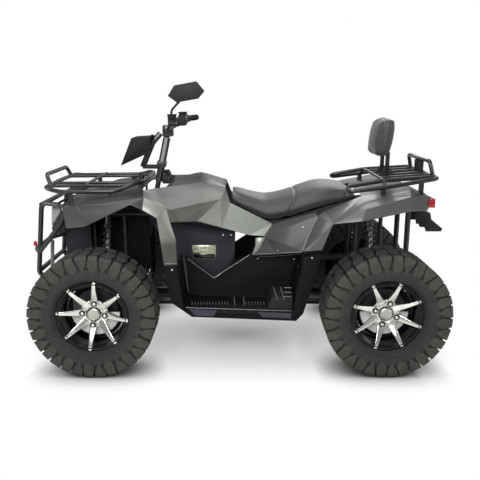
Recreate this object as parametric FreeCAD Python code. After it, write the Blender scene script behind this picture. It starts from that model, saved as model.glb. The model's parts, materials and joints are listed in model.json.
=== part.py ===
import FreeCAD, Part
import math
import os

from FreeCAD import Vector

# Two-seat utility quad bike, in millimetres.
# +X is forward, +Y is the rider's left, +Z is up; the origin is on the ground under the middle.

# Overall sizes that the outlines follow
HALF_BASE = 720.0
HALF_BODY = 540.0
DECK_HEIGHT = 920.0

# Wheels and tyres
TYRE_FLAT_RADIUS = 311.0
FRONT_TYRE_WIDTH = 203.0
REAR_TYRE_WIDTH = 254.0
OVERALL_WIDTH = 1155.0
LUG_PITCHES = 16
LUG_DEPTH = 17.0
BEAD_RADIUS = 152.0
RIM_FLANGE_RADIUS = 176.0
RIM_WALL = 6.0
RIM_FLANGE_WALL = 11.0
FRONT_RIM_WIDTH = 152.0
REAR_RIM_WIDTH = 190.0
TYRE_WALL = 12.0
SPOKE_COUNT = 8
SPOKE_HUB_WIDTH = 39.0
SPOKE_RIM_WIDTH = 16.0
SPOKE_DEPTH = 15.0
HUB_RECESS = 50.0
WHEEL_DISC_RADIUS = 70.0
CAP_RADIUS = 33.0
CAP_HEIGHT = 16.0
LUG_CIRCLE_RADIUS = 55.0
BOSS_RADIUS = 17.0
BOSS_HEIGHT = 5.0

# Hubs, brakes and shafts
HUB_FLANGE_RADIUS = 64.0
HUB_FLANGE_WALL = 10.0
HUB_RADIUS = 30.0
HUB_LENGTH = 44.0
SPINDLE_RADIUS = 12.0
BRAKE_DISC_RADIUS = 110.0
BRAKE_DISC_WALL = 4.0
HALF_SHAFT_RADIUS = 14.0
KINGPIN_RADIUS = 8.0
KINGPIN_OFFSET = 76.0
KINGPIN_Y = (OVERALL_WIDTH - FRONT_TYRE_WIDTH) / 2 - KINGPIN_OFFSET
KINGPIN_HALF_HEIGHT = 84.0
RUNNING_FIT = 0.09
SIDE_PLAY = 0.5
SEAT_GAP = 0.3
PAD_GAP = 2.0

# Tubes and sheet
FRAME_TUBE = 15.0
CROSS_TUBE = 12.0
RACK_TUBE = 11.0
RACK_BAR = 8.0
BUMPER_TUBE = 13.0
ARM_TUBE = 12.0
BAR_TUBE = 11.0
PANEL_WALL = 4.0
FASCIA_WALL = 6.0
SKID_WALL = 5.0
BEND_RADIUS = 45.0
TIGHT_BEND = 24.0
ROUND_SIDES = 6
SMOOTH_SIDES = 8
RIM_SIDES = 24
HUB_SIDES = 16
STRAP_SIDES = 4
GENTLE_TURN = 40.0

# Steering column
COLUMN_SHARES = (0.6403, 0.925)
COLUMN_X = COLUMN_SHARES[0] * HALF_BASE
COLUMN_Z = COLUMN_SHARES[1] * DECK_HEIGHT
COLUMN_RAKE = 12.45
COLUMN_RADIUS = 14.0
COLUMN_BUSH_RADIUS = 24.0
COLUMN_FOOT_Z = 345.0
COLUMN_TOP_SHARE = 1.274
COLUMN_TOP_Z = COLUMN_TOP_SHARE * DECK_HEIGHT
COLUMN_SLEEVES = ((900.0, 985.0, 19.0), (1005.0, 1138.0, 20.0))
YOKE_Z = 997.0
YOKE_HEIGHT = 26.0
POD_STAY_RADIUS = 16.0
COLUMN_HOUSING_HEIGHT = 30.0
PITMAN_LENGTH = 50.0
PITMAN_WIDTH = 76.0
PITMAN_WALL = 10.0
TIE_ROD_Y = 30.0
TIE_ROD_RADIUS = 6.0
TIE_PIN_RADIUS = 5.0
EYE_RADIUS = 11.0
EYE_HEIGHT = 26.0
STEER_ARM_LENGTH = 75.0
STEER_ARM_WIDTH = 22.0
STEER_ARM_WALL = 12.0
OPEN_PIVOT_GAP = 9.0

# Knuckles, calipers and suspension
KNUCKLE_WIDTH = 34.0
KNUCKLE_SPINDLE_BOSS = 28.0
CALIPER_NEAR = 72.0
CALIPER_FAR = 112.0
CALIPER_HEIGHT = 58.0
CALIPER_WALL = 13.0
DISC_CLEARANCE = 1.3
ARM_EYE_RADIUS = 17.0
ARM_EYE_HEIGHT = 16.0
FORK_REACH = 51.0
SHOCK_RADIUS = 29.0
SHOCK_ROD_RADIUS = 9.0
SHOCK_COILS = 5
SHOCK_EYE_RADIUS = 14.0
CARRIER_RADIUS = 34.0
CARRIER_LENGTH = 30.0
CARRIER_GAP = 6.0

# Engine and final drive
ENGINE_LENGTH = 270.0
ENGINE_HALF_WIDTH = 90.0
ENGINE_HEIGHT = 330.0
GEARBOX_LENGTH = 150.0
GEARBOX_HALF_WIDTH = 85.0
GEARBOX_HEIGHT = 150.0
SILENCER_RADIUS = 45.0
RADIATOR_DEPTH = 40.0
RADIATOR_FINS = 7
FIN_DEPTH = 6.0
LINER_Y = 86.0

# Seat, backrest and controls
BACKREST_HALF_WIDTH = 150.0
BACKREST_DEPTH = 90.0
BACKREST_HEIGHT = 213.0
GRIP_RADIUS = 17.0
GRIP_LENGTH = 118.0
HOUSING_SHARE = 1.5
LEVER_RADIUS = 6.0
CLAMP_HALF_WIDTH = 30.0
POD_HALF_WIDTH = 88.0
LAMP_HEIGHT = 12.0
PLATE_HALF_WIDTH = 60.0
LAMP_WIDTH = 100.0
STRAP_WIDTH = 26.0
STRAP_WALL = 6.0
UNIT_Y = Vector(0, 1, 0)
UNIT_Z = Vector(0, 0, 1)
FLAT_TOLERANCE = 1e-6
HALF = 0.5

# Outline points as shares of half the wheelbase, half the body width and the deck height
FENDER_SHARES = {
    "nose": (1.226, 0.407, 0.912),
    "hood": (1.044, 0.407, 0.934),
    "neck": (0.697, 0.407, 0.972),
    "brow": (1.220, 0.704, 0.890),
    "fold_front": (1.063, 0.926, 0.923),
    "fold_rear": (0.634, 0.905, 0.966),
    "lip_front": (1.016, 0.972, 0.824),
    "lip_rear": (0.716, 0.968, 0.935),
    "cheek": (1.194, 0.741, 0.784),
    "knee": (0.640, 0.963, 0.908),
}
FENDER_FACETS = (
    ("nose", "brow", "hood"), ("hood", "brow", "fold_front"),
    ("hood", "fold_front", "fold_rear"), ("hood", "fold_rear", "neck"),
    ("fold_front", "lip_front", "lip_rear"), ("fold_front", "lip_rear", "fold_rear"),
    ("fold_rear", "lip_rear", "knee"),
    ("brow", "cheek", "lip_front"), ("brow", "lip_front", "fold_front"),
)
COWL_SHARES = {
    "front": (0.674, 0.593, 0.977),
    "brow": (0.526, 0.463, 0.984),
    "peak": (0.291, 0.315, 0.999),
    "waist": (0.107, 0.296, 0.968),
    "seat_front": (0.070, 0.380, 0.886),
    "seat_low": (-0.235, 0.444, 0.772),
    "tip": (-0.174, 0.565, 0.716),
    "belly": (-0.069, 0.556, 0.722),
    "flank": (0.131, 0.556, 0.765),
    "chin": (0.305, 0.556, 0.801),
    "throat": (0.424, 0.611, 0.802),
    "crease_front": (0.484, 0.667, 0.875),
    "crease_rear": (0.136, 0.435, 0.912),
}
COWL_FACETS = (
    ("crease_front", "brow", "front"), ("crease_front", "peak", "brow"),
    ("crease_front", "crease_rear", "peak"), ("crease_rear", "waist", "peak"),
    ("crease_front", "throat", "crease_rear"), ("throat", "chin", "crease_rear"),
    ("chin", "flank", "crease_rear"), ("flank", "seat_front", "crease_rear"),
    ("crease_rear", "seat_front", "waist"), ("flank", "seat_low", "seat_front"),
    ("flank", "belly", "seat_low"), ("belly", "tip", "seat_low"),
)
FLARE_SHARES = {
    "front": (0.674, 0.593, 0.977),
    "fold_rear": (0.634, 0.905, 0.966),
    "knee": (0.640, 0.963, 0.908),
    "corner": (0.490, 0.889, 0.912),
    "elbow": (0.546, 0.963, 0.865),
    "crease_front": (0.484, 0.667, 0.875),
    "throat": (0.424, 0.611, 0.802),
    "shin_high": (0.464, 0.907, 0.837),
    "shin_low": (0.427, 0.917, 0.743),
    "toe_rear": (0.424, 0.917, 0.607),
    "toe_front": (0.507, 0.963, 0.612),
}
FLARE_FACETS = (
    ("front", "fold_rear", "corner"), ("front", "corner", "crease_front"),
    ("fold_rear", "knee", "elbow"), ("fold_rear", "elbow", "corner"),
    ("elbow", "shin_high", "corner"), ("elbow", "shin_low", "shin_high"),
    ("elbow", "toe_front", "shin_low"), ("toe_front", "toe_rear", "shin_low"),
    ("corner", "shin_high", "crease_front"), ("shin_high", "throat", "crease_front"),
)
TANK_SHARES = {
    "ridge_front": (0.507, 0.0, 0.992),
    "ridge_peak": (0.306, 0.0, 1.040),
    "ridge_rear": (0.100, 0.0, 0.972),
    "brow": (0.526, 0.463, 0.984),
    "peak": (0.291, 0.315, 0.999),
    "waist": (0.107, 0.296, 0.968),
}
TANK_FACETS = (
    ("ridge_front", "brow", "peak"), ("ridge_front", "peak", "ridge_peak"),
    ("ridge_peak", "peak", "waist"), ("ridge_peak", "waist", "ridge_rear"),
)
SIDE_PANEL_SHARES = {
    "seat_low": (-0.235, 0.444, 0.772),
    "tip": (-0.174, 0.565, 0.716),
    "hip": (-0.531, 0.560, 0.850),
    "shoulder": (-0.544, 0.640, 0.840),
    "hem_rear": (-0.429, 0.833, 0.668),
    "hem_mid": (-0.261, 0.648, 0.626),
    "hem_front": (-0.093, 0.574, 0.606),
}
SIDE_PANEL_FACETS = (
    ("seat_low", "tip", "hip"), ("tip", "shoulder", "hip"), ("tip", "hem_rear", "shoulder"),
    ("tip", "hem_mid", "hem_rear"), ("tip", "hem_front", "hem_mid"),
)
REAR_FENDER_SHARES = {
    "shoulder": (-0.544, 0.640, 0.840),
    "corner": (-0.615, 0.926, 0.829),
    "hem_mid": (-0.800, 0.963, 0.847),
    "hem_rear": (-1.129, 0.907, 0.895),
    "fold_mid": (-0.830, 0.915, 0.905),
    "fold_rear": (-1.139, 0.833, 0.961),
    "seat_side": (-0.595, 0.537, 0.855),
    "deck_front": (-0.880, 0.444, 0.934),
    "deck_rear": (-1.215, 0.463, 0.972),
    "tail_high": (-1.340, 0.556, 0.935),
    "tail_low": (-1.326, 0.556, 0.862),
    "leg_front": (-0.429, 0.833, 0.668),
    "leg_foot": (-0.545, 0.954, 0.694),
}
REAR_FENDER_FACETS = (
    ("shoulder", "corner", "seat_side"), ("seat_side", "corner", "deck_front"),
    ("corner", "fold_mid", "deck_front"), ("deck_front", "fold_mid", "fold_rear"),
    ("deck_front", "fold_rear", "deck_rear"), ("deck_rear", "fold_rear", "tail_high"),
    ("corner", "hem_mid", "fold_mid"), ("fold_mid", "hem_mid", "hem_rear"),
    ("fold_mid", "hem_rear", "fold_rear"), ("fold_rear", "hem_rear", "tail_low"),
    ("fold_rear", "tail_low", "tail_high"),
    ("shoulder", "leg_front", "corner"), ("leg_front", "leg_foot", "corner"),
)
FASCIA_SHARES = {
    "brow": (1.390, 0.278, 0.860),
    "chin": (1.405, 0.278, 0.714),
    "jaw": (1.325, 0.430, 0.703),
    "temple": (1.240, 0.500, 0.880),
    "cheek": (1.262, 0.500, 0.745),
}
FASCIA_FACETS = (("brow", "chin", "temple"), ("chin", "jaw", "temple"), ("jaw", "cheek", "temple"))

# Side outlines, as shares of half the wheelbase and the deck height
SKIRT_OUTER_SHARES = (
    (0.504, 0.605), (0.498, 0.520), (0.465, 0.404), (0.328, 0.325), (-0.383, 0.302),
    (-0.430, 0.342), (-0.467, 0.437), (-0.522, 0.586), (-0.540, 0.675),
)
SKIRT_INNER_SHARES = (
    (0.424, 0.602), (0.401, 0.469), (0.383, 0.370), (0.340, 0.352), (-0.340, 0.336),
    (-0.366, 0.360), (-0.381, 0.469), (-0.412, 0.580), (-0.427, 0.655),
)
WELL_WALL_SHARES = (
    (0.400, 0.596), (0.184, 0.460), (-0.087, 0.606), (-0.436, 0.645), (-0.420, 0.580), (-0.389, 0.469),
    (-0.375, 0.352), (-0.350, 0.327), (0.345, 0.343), (0.378, 0.362),
)
INNER_COVER_SHARES = {
    "throat": (0.424, 0.611, 0.802),
    "chin": (0.305, 0.556, 0.801),
    "flank": (0.131, 0.556, 0.765),
    "front_high": (0.520, 0.396, 0.775),
    "front_low": (0.480, 0.396, 0.600),
    "point": (0.187, 0.396, 0.440),
    "rear_low": (0.041, 0.396, 0.514),
    "rear_high": (0.037, 0.396, 0.715),
}
INNER_COVER_FACETS = (
    ("throat", "front_high", "chin"), ("chin", "front_high", "rear_high"), ("chin", "rear_high", "flank"),
    ("front_high", "front_low", "rear_high"), ("front_low", "rear_low", "rear_high"),
    ("front_low", "point", "rear_low"),
)
POD_SHARES = ((0.90, 1.075), (0.80, 1.24), (0.664, 1.247), (0.683, 1.152))

# Seat sections from front to rear: place, base height, top height and half width, all as shares
SEAT_SECTION_SHARES = (
    (0.062, 0.890, 0.952, 0.29), (-0.050, 0.832, 0.910, 0.33), (-0.190, 0.778, 0.886, 0.37),
    (-0.330, 0.793, 0.903, 0.395), (-0.460, 0.824, 0.943, 0.41), (-0.550, 0.847, 0.970, 0.415),
    (-0.640, 0.868, 0.979, 0.41), (-0.770, 0.898, 0.966, 0.40), (-0.850, 0.920, 0.945, 0.38),
)
# Seat outline across, as shares of the half width and of the section's height
SEAT_RING_SHARES = ((0.90, 0.0), (1.0, 0.30), (0.93, 0.75), (0.62, 1.0))
SEAT_CROWN = 8.0

# Tube routes, as shares of the same sizes
UPPER_RAIL_SHARES = (
    (1.19, 0.2, 0.80), (0.45, 0.2, 0.80), (0.05, 0.2, 0.72), (-0.45, 0.2, 0.70),
    (-1.265, 0.2, 0.865),
)
LOWER_RAIL_SHARES = (
    (1.19, 0.2, 0.80), (1.19, 0.2, 0.36), (1.06, 0.2, 0.27), (-1.14, 0.2, 0.27),
    (-1.265, 0.2, 0.42), (-1.265, 0.2, 0.865),
)
CROSS_PLACE_SHARES = (
    (1.19, 0.78), (1.19, 0.40), (0.05, 0.72), (-0.45, 0.70), (-1.265, 0.845),
    (0.45, 0.27), (-0.40, 0.27), (-0.84, 0.27), (-1.265, 0.52),
)
POST_SHARES = (
    ((1.10, 0.2, 0.27), (1.10, 0.2, 0.80)), ((0.87, 0.2, 0.27), (0.87, 0.2, 0.80)),
    ((-0.87, 0.2, 0.27), (-0.87, 0.2, 0.788)), ((-1.06, 0.2, 0.27), (-1.06, 0.2, 0.823)),
)
SEAT_REST_SHARES = ((-0.19, 0.778), (-0.64, 0.868))
ARM_SHARES = {
    "front": (((1.045, 0.2, 0.285), (0.87, 0.2, 0.285)), ((1.10, 0.2, 0.47), (0.87, 0.2, 0.47))),
    "rear": (((-0.87, 0.2, 0.285), (-1.06, 0.2, 0.285)), ((-0.87, 0.2, 0.47), (-1.06, 0.2, 0.47))),
}
SHOCK_SHARES = {
    "front": ((0.985, 0.225, 0.80), (0.985, 0.56, 0.30)),
    "rear": ((-0.965, 0.225, 0.807), (-0.965, 0.56, 0.33)),
}
BUMPER_SIDE_SHARES = (
    (1.215, 0.2, 0.42), (1.49, 0.42, 0.46), (1.43, 0.42, 0.89), (1.245, 0.57, 0.888),
    (1.245, 0.57, 0.805), (1.465, 0.43, 0.61),
)
BUMPER_NOSE_SHARES = ((1.469, 0.42, 0.60), (1.539, 0.25, 0.60), (1.539, -0.25, 0.60), (1.469, -0.42, 0.60))
BUMPER_CROSS_SHARES = ((1.485, 0.42, 0.49), (1.432, 0.42, 0.878))
FRONT_RACK_SHARES = (
    (0.69, 0.0, 1.008), (0.69, 0.34, 1.008), (0.75, 0.47, 1.006), (0.855, 0.60, 0.970),
    (1.26, 0.60, 0.967), (1.37, 0.54, 0.984), (1.37, 0.0, 0.988),
)
FRONT_HOOP_SHARES = ((1.37, 0.36, 0.988), (1.40, 0.333, 1.043), (1.40, 0.0, 1.043))
FRONT_RACK_BAR_SHARES = (
    ((0.69, 0.26, 1.008), (0.82, 0.26, 0.992), (1.37, 0.26, 0.988)),
    ((0.75, 0.46, 1.006), (0.82, 0.46, 0.992), (1.37, 0.46, 0.986)),
)
FRONT_RACK_CROSS_SHARES = ((1.10, 0.46, 0.994),)
FRONT_RACK_LEG_SHARES = ((0.89, 0.60, 0.970, 0.88), (1.18, 0.60, 0.967, 0.86))
REAR_RACK_SHARES = (
    (-1.385, 0.0, 1.038), (-1.385, 0.53, 1.034), (-1.01, 0.56, 0.988), (-0.765, 0.56, 0.964),
    (-0.755, 0.48, 0.985), (-1.02, 0.48, 1.021), (-1.385, 0.47, 1.038),
)
REAR_HOOP_SHARES = ((-1.385, 0.38, 1.038), (-1.36, 0.36, 1.12), (-1.36, 0.0, 1.12))
REAR_RACK_BAR_SHARES = (
    ((-1.02, 0.11, 1.021), (-1.385, 0.11, 1.038)), ((-1.02, 0.29, 1.021), (-1.385, 0.29, 1.038)),
    ((-1.02, 0.48, 1.021), (-1.01, 0.56, 0.988)),
)
REAR_RACK_CROSS_SHARES = ((-1.02, 0.48, 1.021),)
REAR_RACK_LEG_SHARES = ((-1.0, 0.56, 0.986, 0.90), (-1.27, 0.54, 1.018, 0.92))
RACK_LAMP_SHARES = ((-1.345, -0.07, 1.042), (-1.385, 0.07, 1.108))
BACKREST_POST_SHARES = ((-1.103, 0.11, 1.022), (-1.103, 0.11, 1.16))
BACKREST_PAD_SHARES = (-1.04, 0.0, 1.128)
BACKREST_BASE_SHARES = ((-1.057, 1.026), (-1.103, 1.09), (-1.157, 1.026))
HANDLEBAR_SHARES = ((0.5417, 0.0, 1.285), (0.530, 0.14, 1.285), (0.475, 0.40, 1.335), (0.365, 0.76, 1.343))
LEVER_SHARES = ((0.49, 0.42, 1.325), (0.455, 0.50, 1.325), (0.43, 0.72, 1.318))
MIRROR_STEM_SHARES = ((0.49, 0.36, 1.335), (0.48, 0.37, 1.40), (0.385, 0.40, 1.475))
MIRROR_SHARES = ((0.50, 1.475), (0.455, 1.53), (0.30, 1.552), (0.245, 1.50), (0.29, 1.46), (0.44, 1.44))
POD_STAY_SHARES = ((0.742, 0.0, 1.066), (0.66, 0.0, 1.21), (0.60, 0.0, 1.262))
HARNESS_SHARES = ((0.765, 0.0, 0.955), (0.752, 0.0, 1.02))

# Further stations, places and outlines
SIDES = ((1, "left"), (-1, "right"))
STAY_SHARES = {
    "front_fascia": (((1.19, 0.2, 0.795), (1.45, 0.2, 0.795)),),
    "front_fender": (((1.10, 0.2, 0.80), (1.10, 0.32, 0.97)), ((0.75, 0.2, 0.80), (0.75, 0.32, 1.01))),
    "side_cowls": (((0.30, 0.2, 0.765), (0.30, 0.37, 1.0)),),
    "rear_fender": (((-1.02, 0.2, 0.81), (-1.02, 0.32, 1.0)),),
    "footwells": (
        ((0.25, 0.2, 0.27), (0.25, 0.42, 0.336), (0.25, 0.90, 0.336)),
        ((-0.25, 0.2, 0.27), (-0.25, 0.42, 0.326), (-0.25, 0.90, 0.326)),
    ),
}
HITCH_SHARES = (-1.265, 0.52)
HITCH_LENGTH = 70.0
HITCH_HALF_WIDTH = 30.0
HITCH_WALL = 8.0
HITCH_HOLE_RADIUS = 9.5
RIM_PHASES = {"front": 0.0, "rear": 18.0}
POD_TAPER_SHARES = (0.45, 1.0, 1.0, 0.8)
MIRROR_DEPTH_SHARES = ((-0.16, 0.7), (0.0, 1.0), (0.10, 1.0))
SHOCK_SPRING_SHARES = (0.14, 0.78)
ENGINE_PLACE_SHARE = 0.085
SILENCER_SHARES = ((-1.13, -0.165, 0.475), (-1.13, 0.165, 0.475))
SILENCER_HANGER_SHARES = ((-1.13, 0.0, 0.475), (-1.265, 0.0, 0.52))
EXHAUST_SHARES = ((0.10, -0.10, 0.47), (-0.95, -0.10, 0.50), (-1.13, -0.10, 0.475))
LINER_SHARES = (
    (0.685, 0.78), (0.685, 0.46), (1.11, 0.46), (1.27, 0.60), (1.31, 0.70), (1.25, 0.775),
)
RADIATOR_SHARES = ((1.225, 0.60), (1.225, 0.765))
TRAY_FLOOR_SHARES = ((0.04, 0.7385), (0.0, 0.7355), (-0.45, 0.7175), (-0.85, 0.7985))
TRAY_RIM_SHARES = (
    (-0.85, 0.908), (-0.77, 0.888), (-0.64, 0.858), (-0.46, 0.814), (-0.33, 0.783), (-0.19, 0.768),
    (-0.05, 0.80), (0.04, 0.83),
)
TRAY_HALF_WIDTH = 165.0
EXHAUST_RADIUS = 19.0
SKID_HALF_WIDTH = 125.0
WELL_INNER_Y = 258.0
SKIRT_Y = 511.0
FASCIA_SLATS = 5
SLAT_SHARE = 0.45
BACKREST_LEAN = 8.0
BACKREST_DEPTH_SHARES = ((0.0, 0.80), (0.3, 1.0), (0.8, 1.0), (1.0, 0.88))
BACKREST_RING_SHARES = (
    (1.0, 0.0), (1.0, 0.55), (0.80, 0.92), (0.5, 1.0), (-0.5, 1.0), (-0.80, 0.92), (-1.0, 0.55),
    (-1.0, 0.0), (-0.92, -0.8), (-0.7, -1.0), (0.7, -1.0), (0.92, -0.8),
)
LAMP_INSET_SHARES = (0.72, 0.6)
PLATE_SHARES = ((-1.25, 0.837), (-1.36, 0.815), (-1.455, 0.795), (-1.465, 0.757), (-1.5556, 0.70))
PLATE_CHEEK_SHARES = (
    (-1.33, 0.818), (-1.455, 0.795), (-1.465, 0.757), (-1.5556, 0.70), (-1.545, 0.683), (-1.43, 0.683),
    (-1.405, 0.73), (-1.35, 0.73),
)

SEGMENTS = 2 * LUG_PITCHES
SEGMENT_ANGLE = 2 * math.pi / SEGMENTS
BULGE_SHARES = (0.485, 0.40)
SHOULDER_SHARES = (0.40, 0.90)
CAVITY_SHARES = (0.36, 0.72)
LUG_SHARES = ((0.50, 0.90), (0.44, 1.0), (0.10, 1.0))


def at(shares):
    """Point at the given shares of the overall sizes."""
    return Vector(shares[0] * HALF_BASE, shares[1] * HALF_BODY, shares[2] * DECK_HEIGHT)


def flipped(point):
    return Vector(point.x, -point.y, point.z)


def other_side(shape):
    """Mirror image in the bike's middle plane."""
    return shape.mirror(Vector(), Vector(0, 1, 0))


def closed_solid(polygons):
    """Solid inside a closed set of flat polygons."""
    faces = [Part.Face(Part.makePolygon(points + points[:1])) for points in polygons]
    skin = Part.Compound(faces)
    skin.sewShape()
    solid = Part.Solid(skin.Shells[0])
    if solid.Volume < 0:
        solid.reverse()
    return solid


def flat_pieces(points):
    """The polygon as it is where it is flat, or else as a fan of triangles."""
    normal = (points[1] - points[0]).cross(points[2] - points[0])
    if normal.Length > 0:
        normal.normalize()
        if all(abs(normal.dot(point - points[0])) < FLAT_TOLERANCE for point in points):
            return [points]
    return [[points[0], a, b] for a, b in zip(points[1:], points[2:])]


def loft_rings(rings):
    """Solid through rings of equally many points, closed at both ends."""
    polygons = flat_pieces(list(reversed(rings[0]))) + flat_pieces(list(rings[-1]))
    for low, high in zip(rings, rings[1:]):
        for index in range(len(low)):
            after = (index + 1) % len(low)
            polygons += flat_pieces([low[index], low[after], high[after], high[index]])
    return closed_solid(polygons)


def rounded_route(points, bend, steps):
    """Route with each corner replaced by short runs along an arc."""
    route = [points[0]]
    for before, corner, after in zip(points, points[1:], points[2:]):
        into = (corner - before).normalize()
        out = (after - corner).normalize()
        turn = into.getAngle(out)
        if turn < FLAT_TOLERANCE:
            continue
        reach = bend * math.tan(turn / 2)
        reach = min(reach, (corner - before).Length * HALF, (after - corner).Length * HALF)
        radius = reach / math.tan(turn / 2)
        axis = into.cross(out).normalize()
        start = corner - into * reach
        centre = start + axis.cross(into) * radius
        runs = 1 if turn < math.radians(GENTLE_TURN) else steps
        for step in range(runs + 1):
            place = centre + turned_vector(start - centre, axis, turn * step / runs)
            if (place - route[-1]).Length > FLAT_TOLERANCE:
                route.append(place)
    return route + [points[-1]]


def turned_vector(vector, axis, angle):
    along = axis * axis.dot(vector)
    return along + (vector - along) * math.cos(angle) + axis.cross(vector) * math.sin(angle)


def tube(points, radius, bend=BEND_RADIUS, steps=2, sides=ROUND_SIDES):
    """Many-sided tube along a route with rounded corners and mitred joints."""
    route = rounded_route(points, bend, steps) if len(points) > 2 else list(points)
    heading = (route[1] - route[0]).normalize()
    side = heading.cross(UNIT_Z)
    if side.Length < FLAT_TOLERANCE:
        side = Vector(0, 1, 0)
    side.normalize()
    up = side.cross(heading)
    ring = []
    for index in range(sides):
        angle = 2 * math.pi * (index + HALF) / sides
        ring.append(route[0] + side * (radius * math.cos(angle)) + up * (radius * math.sin(angle)))
    rings = [ring]
    for index in range(1, len(route)):
        heading = (route[index] - route[index - 1]).normalize()
        normal = heading
        if index < len(route) - 1:
            normal = heading + (route[index + 1] - route[index]).normalize()
        ring = [p + heading * ((route[index] - p).dot(normal) / heading.dot(normal)) for p in ring]
        rings.append(ring)
    return loft_rings(rings)


def box(low, high):
    size = high - low
    return Part.makeBox(size.x, size.y, size.z, low)


def rod(start, end, radius):
    """Round bar between two points."""
    return Part.makeCylinder(radius, (end - start).Length, start, end - start)


def side_plate(shares, y_from, y_to):
    """Flat plate with an outline seen from the side."""
    points = [Vector(x * HALF_BASE, y_from, z * DECK_HEIGHT) for x, z in shares]
    return Part.Face(Part.makePolygon(points + points[:1])).extrude(Vector(0, y_to - y_from, 0))


def offset_path(points, distance):
    """Side-view path moved to its left by a distance, with mitred corners."""
    moved = []
    for index, point in enumerate(points):
        before = points[max(index - 1, 0)]
        after = points[min(index + 1, len(points) - 1)]
        into = (point - before) if index else (after - point)
        out = (after - point) if index < len(points) - 1 else (point - before)
        normals = [Vector(-v.z, 0, v.x).normalize() for v in (into, out)]
        middle = (normals[0] + normals[1]).normalize()
        moved.append(point + middle * (distance / middle.dot(normals[0])))
    return moved


def side_strip(shares, wall, y_from, y_to):
    """Folded sheet that runs straight across the bike and follows a side-view path."""
    path = [Vector(x * HALF_BASE, y_from, z * DECK_HEIGHT) for x, z in shares]
    outline = path + list(reversed(offset_path(path, wall)))
    return Part.Face(Part.makePolygon(outline + outline[:1])).extrude(Vector(0, y_to - y_from, 0))


def folded_sheet(table, facets, shift):
    """Sheet of triangles between named points, given a wall by a shift."""
    points = {name: at(shares) for name, shares in table.items()}
    polygons = []
    edges = {}
    for facet in facets:
        polygons.append([points[name] for name in facet])
        polygons.append([points[name] + shift for name in reversed(facet)])
        for start, end in zip(facet, facet[1:] + facet[:1]):
            if (end, start) in edges:
                del edges[(end, start)]
            else:
                edges[(start, end)] = True
    for start, end in edges:
        a, b = points[start], points[end]
        polygons.append([b, a, a + shift, b + shift])
    return closed_solid(polygons)


def fuse(shapes):
    shapes = list(shapes)
    return shapes[0].multiFuse(shapes[1:]).removeSplitter() if len(shapes) > 1 else shapes[0]


def group(shapes):
    return Part.makeCompound(list(shapes))


def both_sides(shape):
    return group([shape, other_side(shape)])


def cleared(piece, carriers):
    """The piece without the room that its carriers take."""
    for carrier in carriers:
        piece = piece.cut(carrier)
    return piece


# Wheels

def wheel_point(centre, side, y_offset, radius, angle):
    x = centre.x + radius * math.sin(angle)
    return Vector(x, centre.y + side * y_offset, centre.z - radius * math.cos(angle))


def turned(profile, centre, side, sides=SEGMENTS):
    """Many-sided ring: a closed (y, radius) profile carried around the wheel's axle."""
    half = math.pi / sides
    polygons = []
    for index in range(sides):
        angles = (2 * half * index - half, 2 * half * index + half)
        for (y_a, r_a), (y_b, r_b) in zip(profile, profile[1:] + profile[:1]):
            stretch_a, stretch_b = r_a / math.cos(half), r_b / math.cos(half)
            quad = [wheel_point(centre, side, y_a, stretch_a, angle) for angle in angles]
            quad += [wheel_point(centre, side, y_b, stretch_b, angle) for angle in reversed(angles)]
            polygons.append([p for n, p in enumerate(quad) if (p - quad[n - 1]).Length > FLAT_TOLERANCE])
    return closed_solid([p for p in polygons if len(p) > 2])


def tyre_profiles(width, rim_width):
    """Half outlines of the lug stretch and of the stretch between, and of the cavity."""
    carcass_radius = TYRE_FLAT_RADIUS - LUG_DEPTH
    rise = carcass_radius - BEAD_RADIUS
    lug_rise = TYRE_FLAT_RADIUS - BEAD_RADIUS
    bead_y = rim_width / 2 - RIM_FLANGE_WALL - SEAT_GAP
    bead = BEAD_RADIUS + SEAT_GAP
    bulge = (BULGE_SHARES[0] * width, BEAD_RADIUS + BULGE_SHARES[1] * rise)
    shoulder = (SHOULDER_SHARES[0] * width, BEAD_RADIUS + SHOULDER_SHARES[1] * rise)
    lug = [(share * width, BEAD_RADIUS + up * lug_rise) for share, up in LUG_SHARES]
    root = (lug[-1][0], carcass_radius)
    start = [(bead_y, bead), (bead_y, RIM_FLANGE_RADIUS + PAD_GAP), bulge]
    cavity = [(bead_y - TYRE_WALL, bead), (CAVITY_SHARES[0] * width, BEAD_RADIUS + CAVITY_SHARES[1] * rise)]
    lug_wall = [bulge] + lug + [root, shoulder]
    return start + lug + [root], start + [shoulder, root], cavity, lug_wall


def tyre(centre, side, width, rim_width):
    """Tyre whose lugs start at the sidewall and run in to the tread's middle."""
    with_lug, plain, cavity, lug_wall = tyre_profiles(width, rim_width)
    closed = []
    for half in (with_lug, plain):
        outline = half + [(-y, r) for y, r in reversed(half)]
        closed.append(outline + [(-y, r) for y, r in cavity] + list(reversed(cavity)))
    half_angle = SEGMENT_ANGLE / 2
    stretch = 1 / math.cos(half_angle)
    polygons = []
    for index in range(SEGMENTS):
        profile = closed[index % 2]
        angles = (SEGMENT_ANGLE * index - half_angle, SEGMENT_ANGLE * index + half_angle)
        for (y_a, r_a), (y_b, r_b) in zip(profile, profile[1:] + profile[:1]):
            quad = [wheel_point(centre, side, y_a, r_a * stretch, angle) for angle in angles]
            quad += [wheel_point(centre, side, y_b, r_b * stretch, angle) for angle in reversed(angles)]
            polygons.append(quad)
        for hand in (1, -1):
            wall = [wheel_point(centre, side, hand * y, r * stretch, angles[1]) for y, r in lug_wall]
            polygons.append(wall)
    return closed_solid(polygons)


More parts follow.
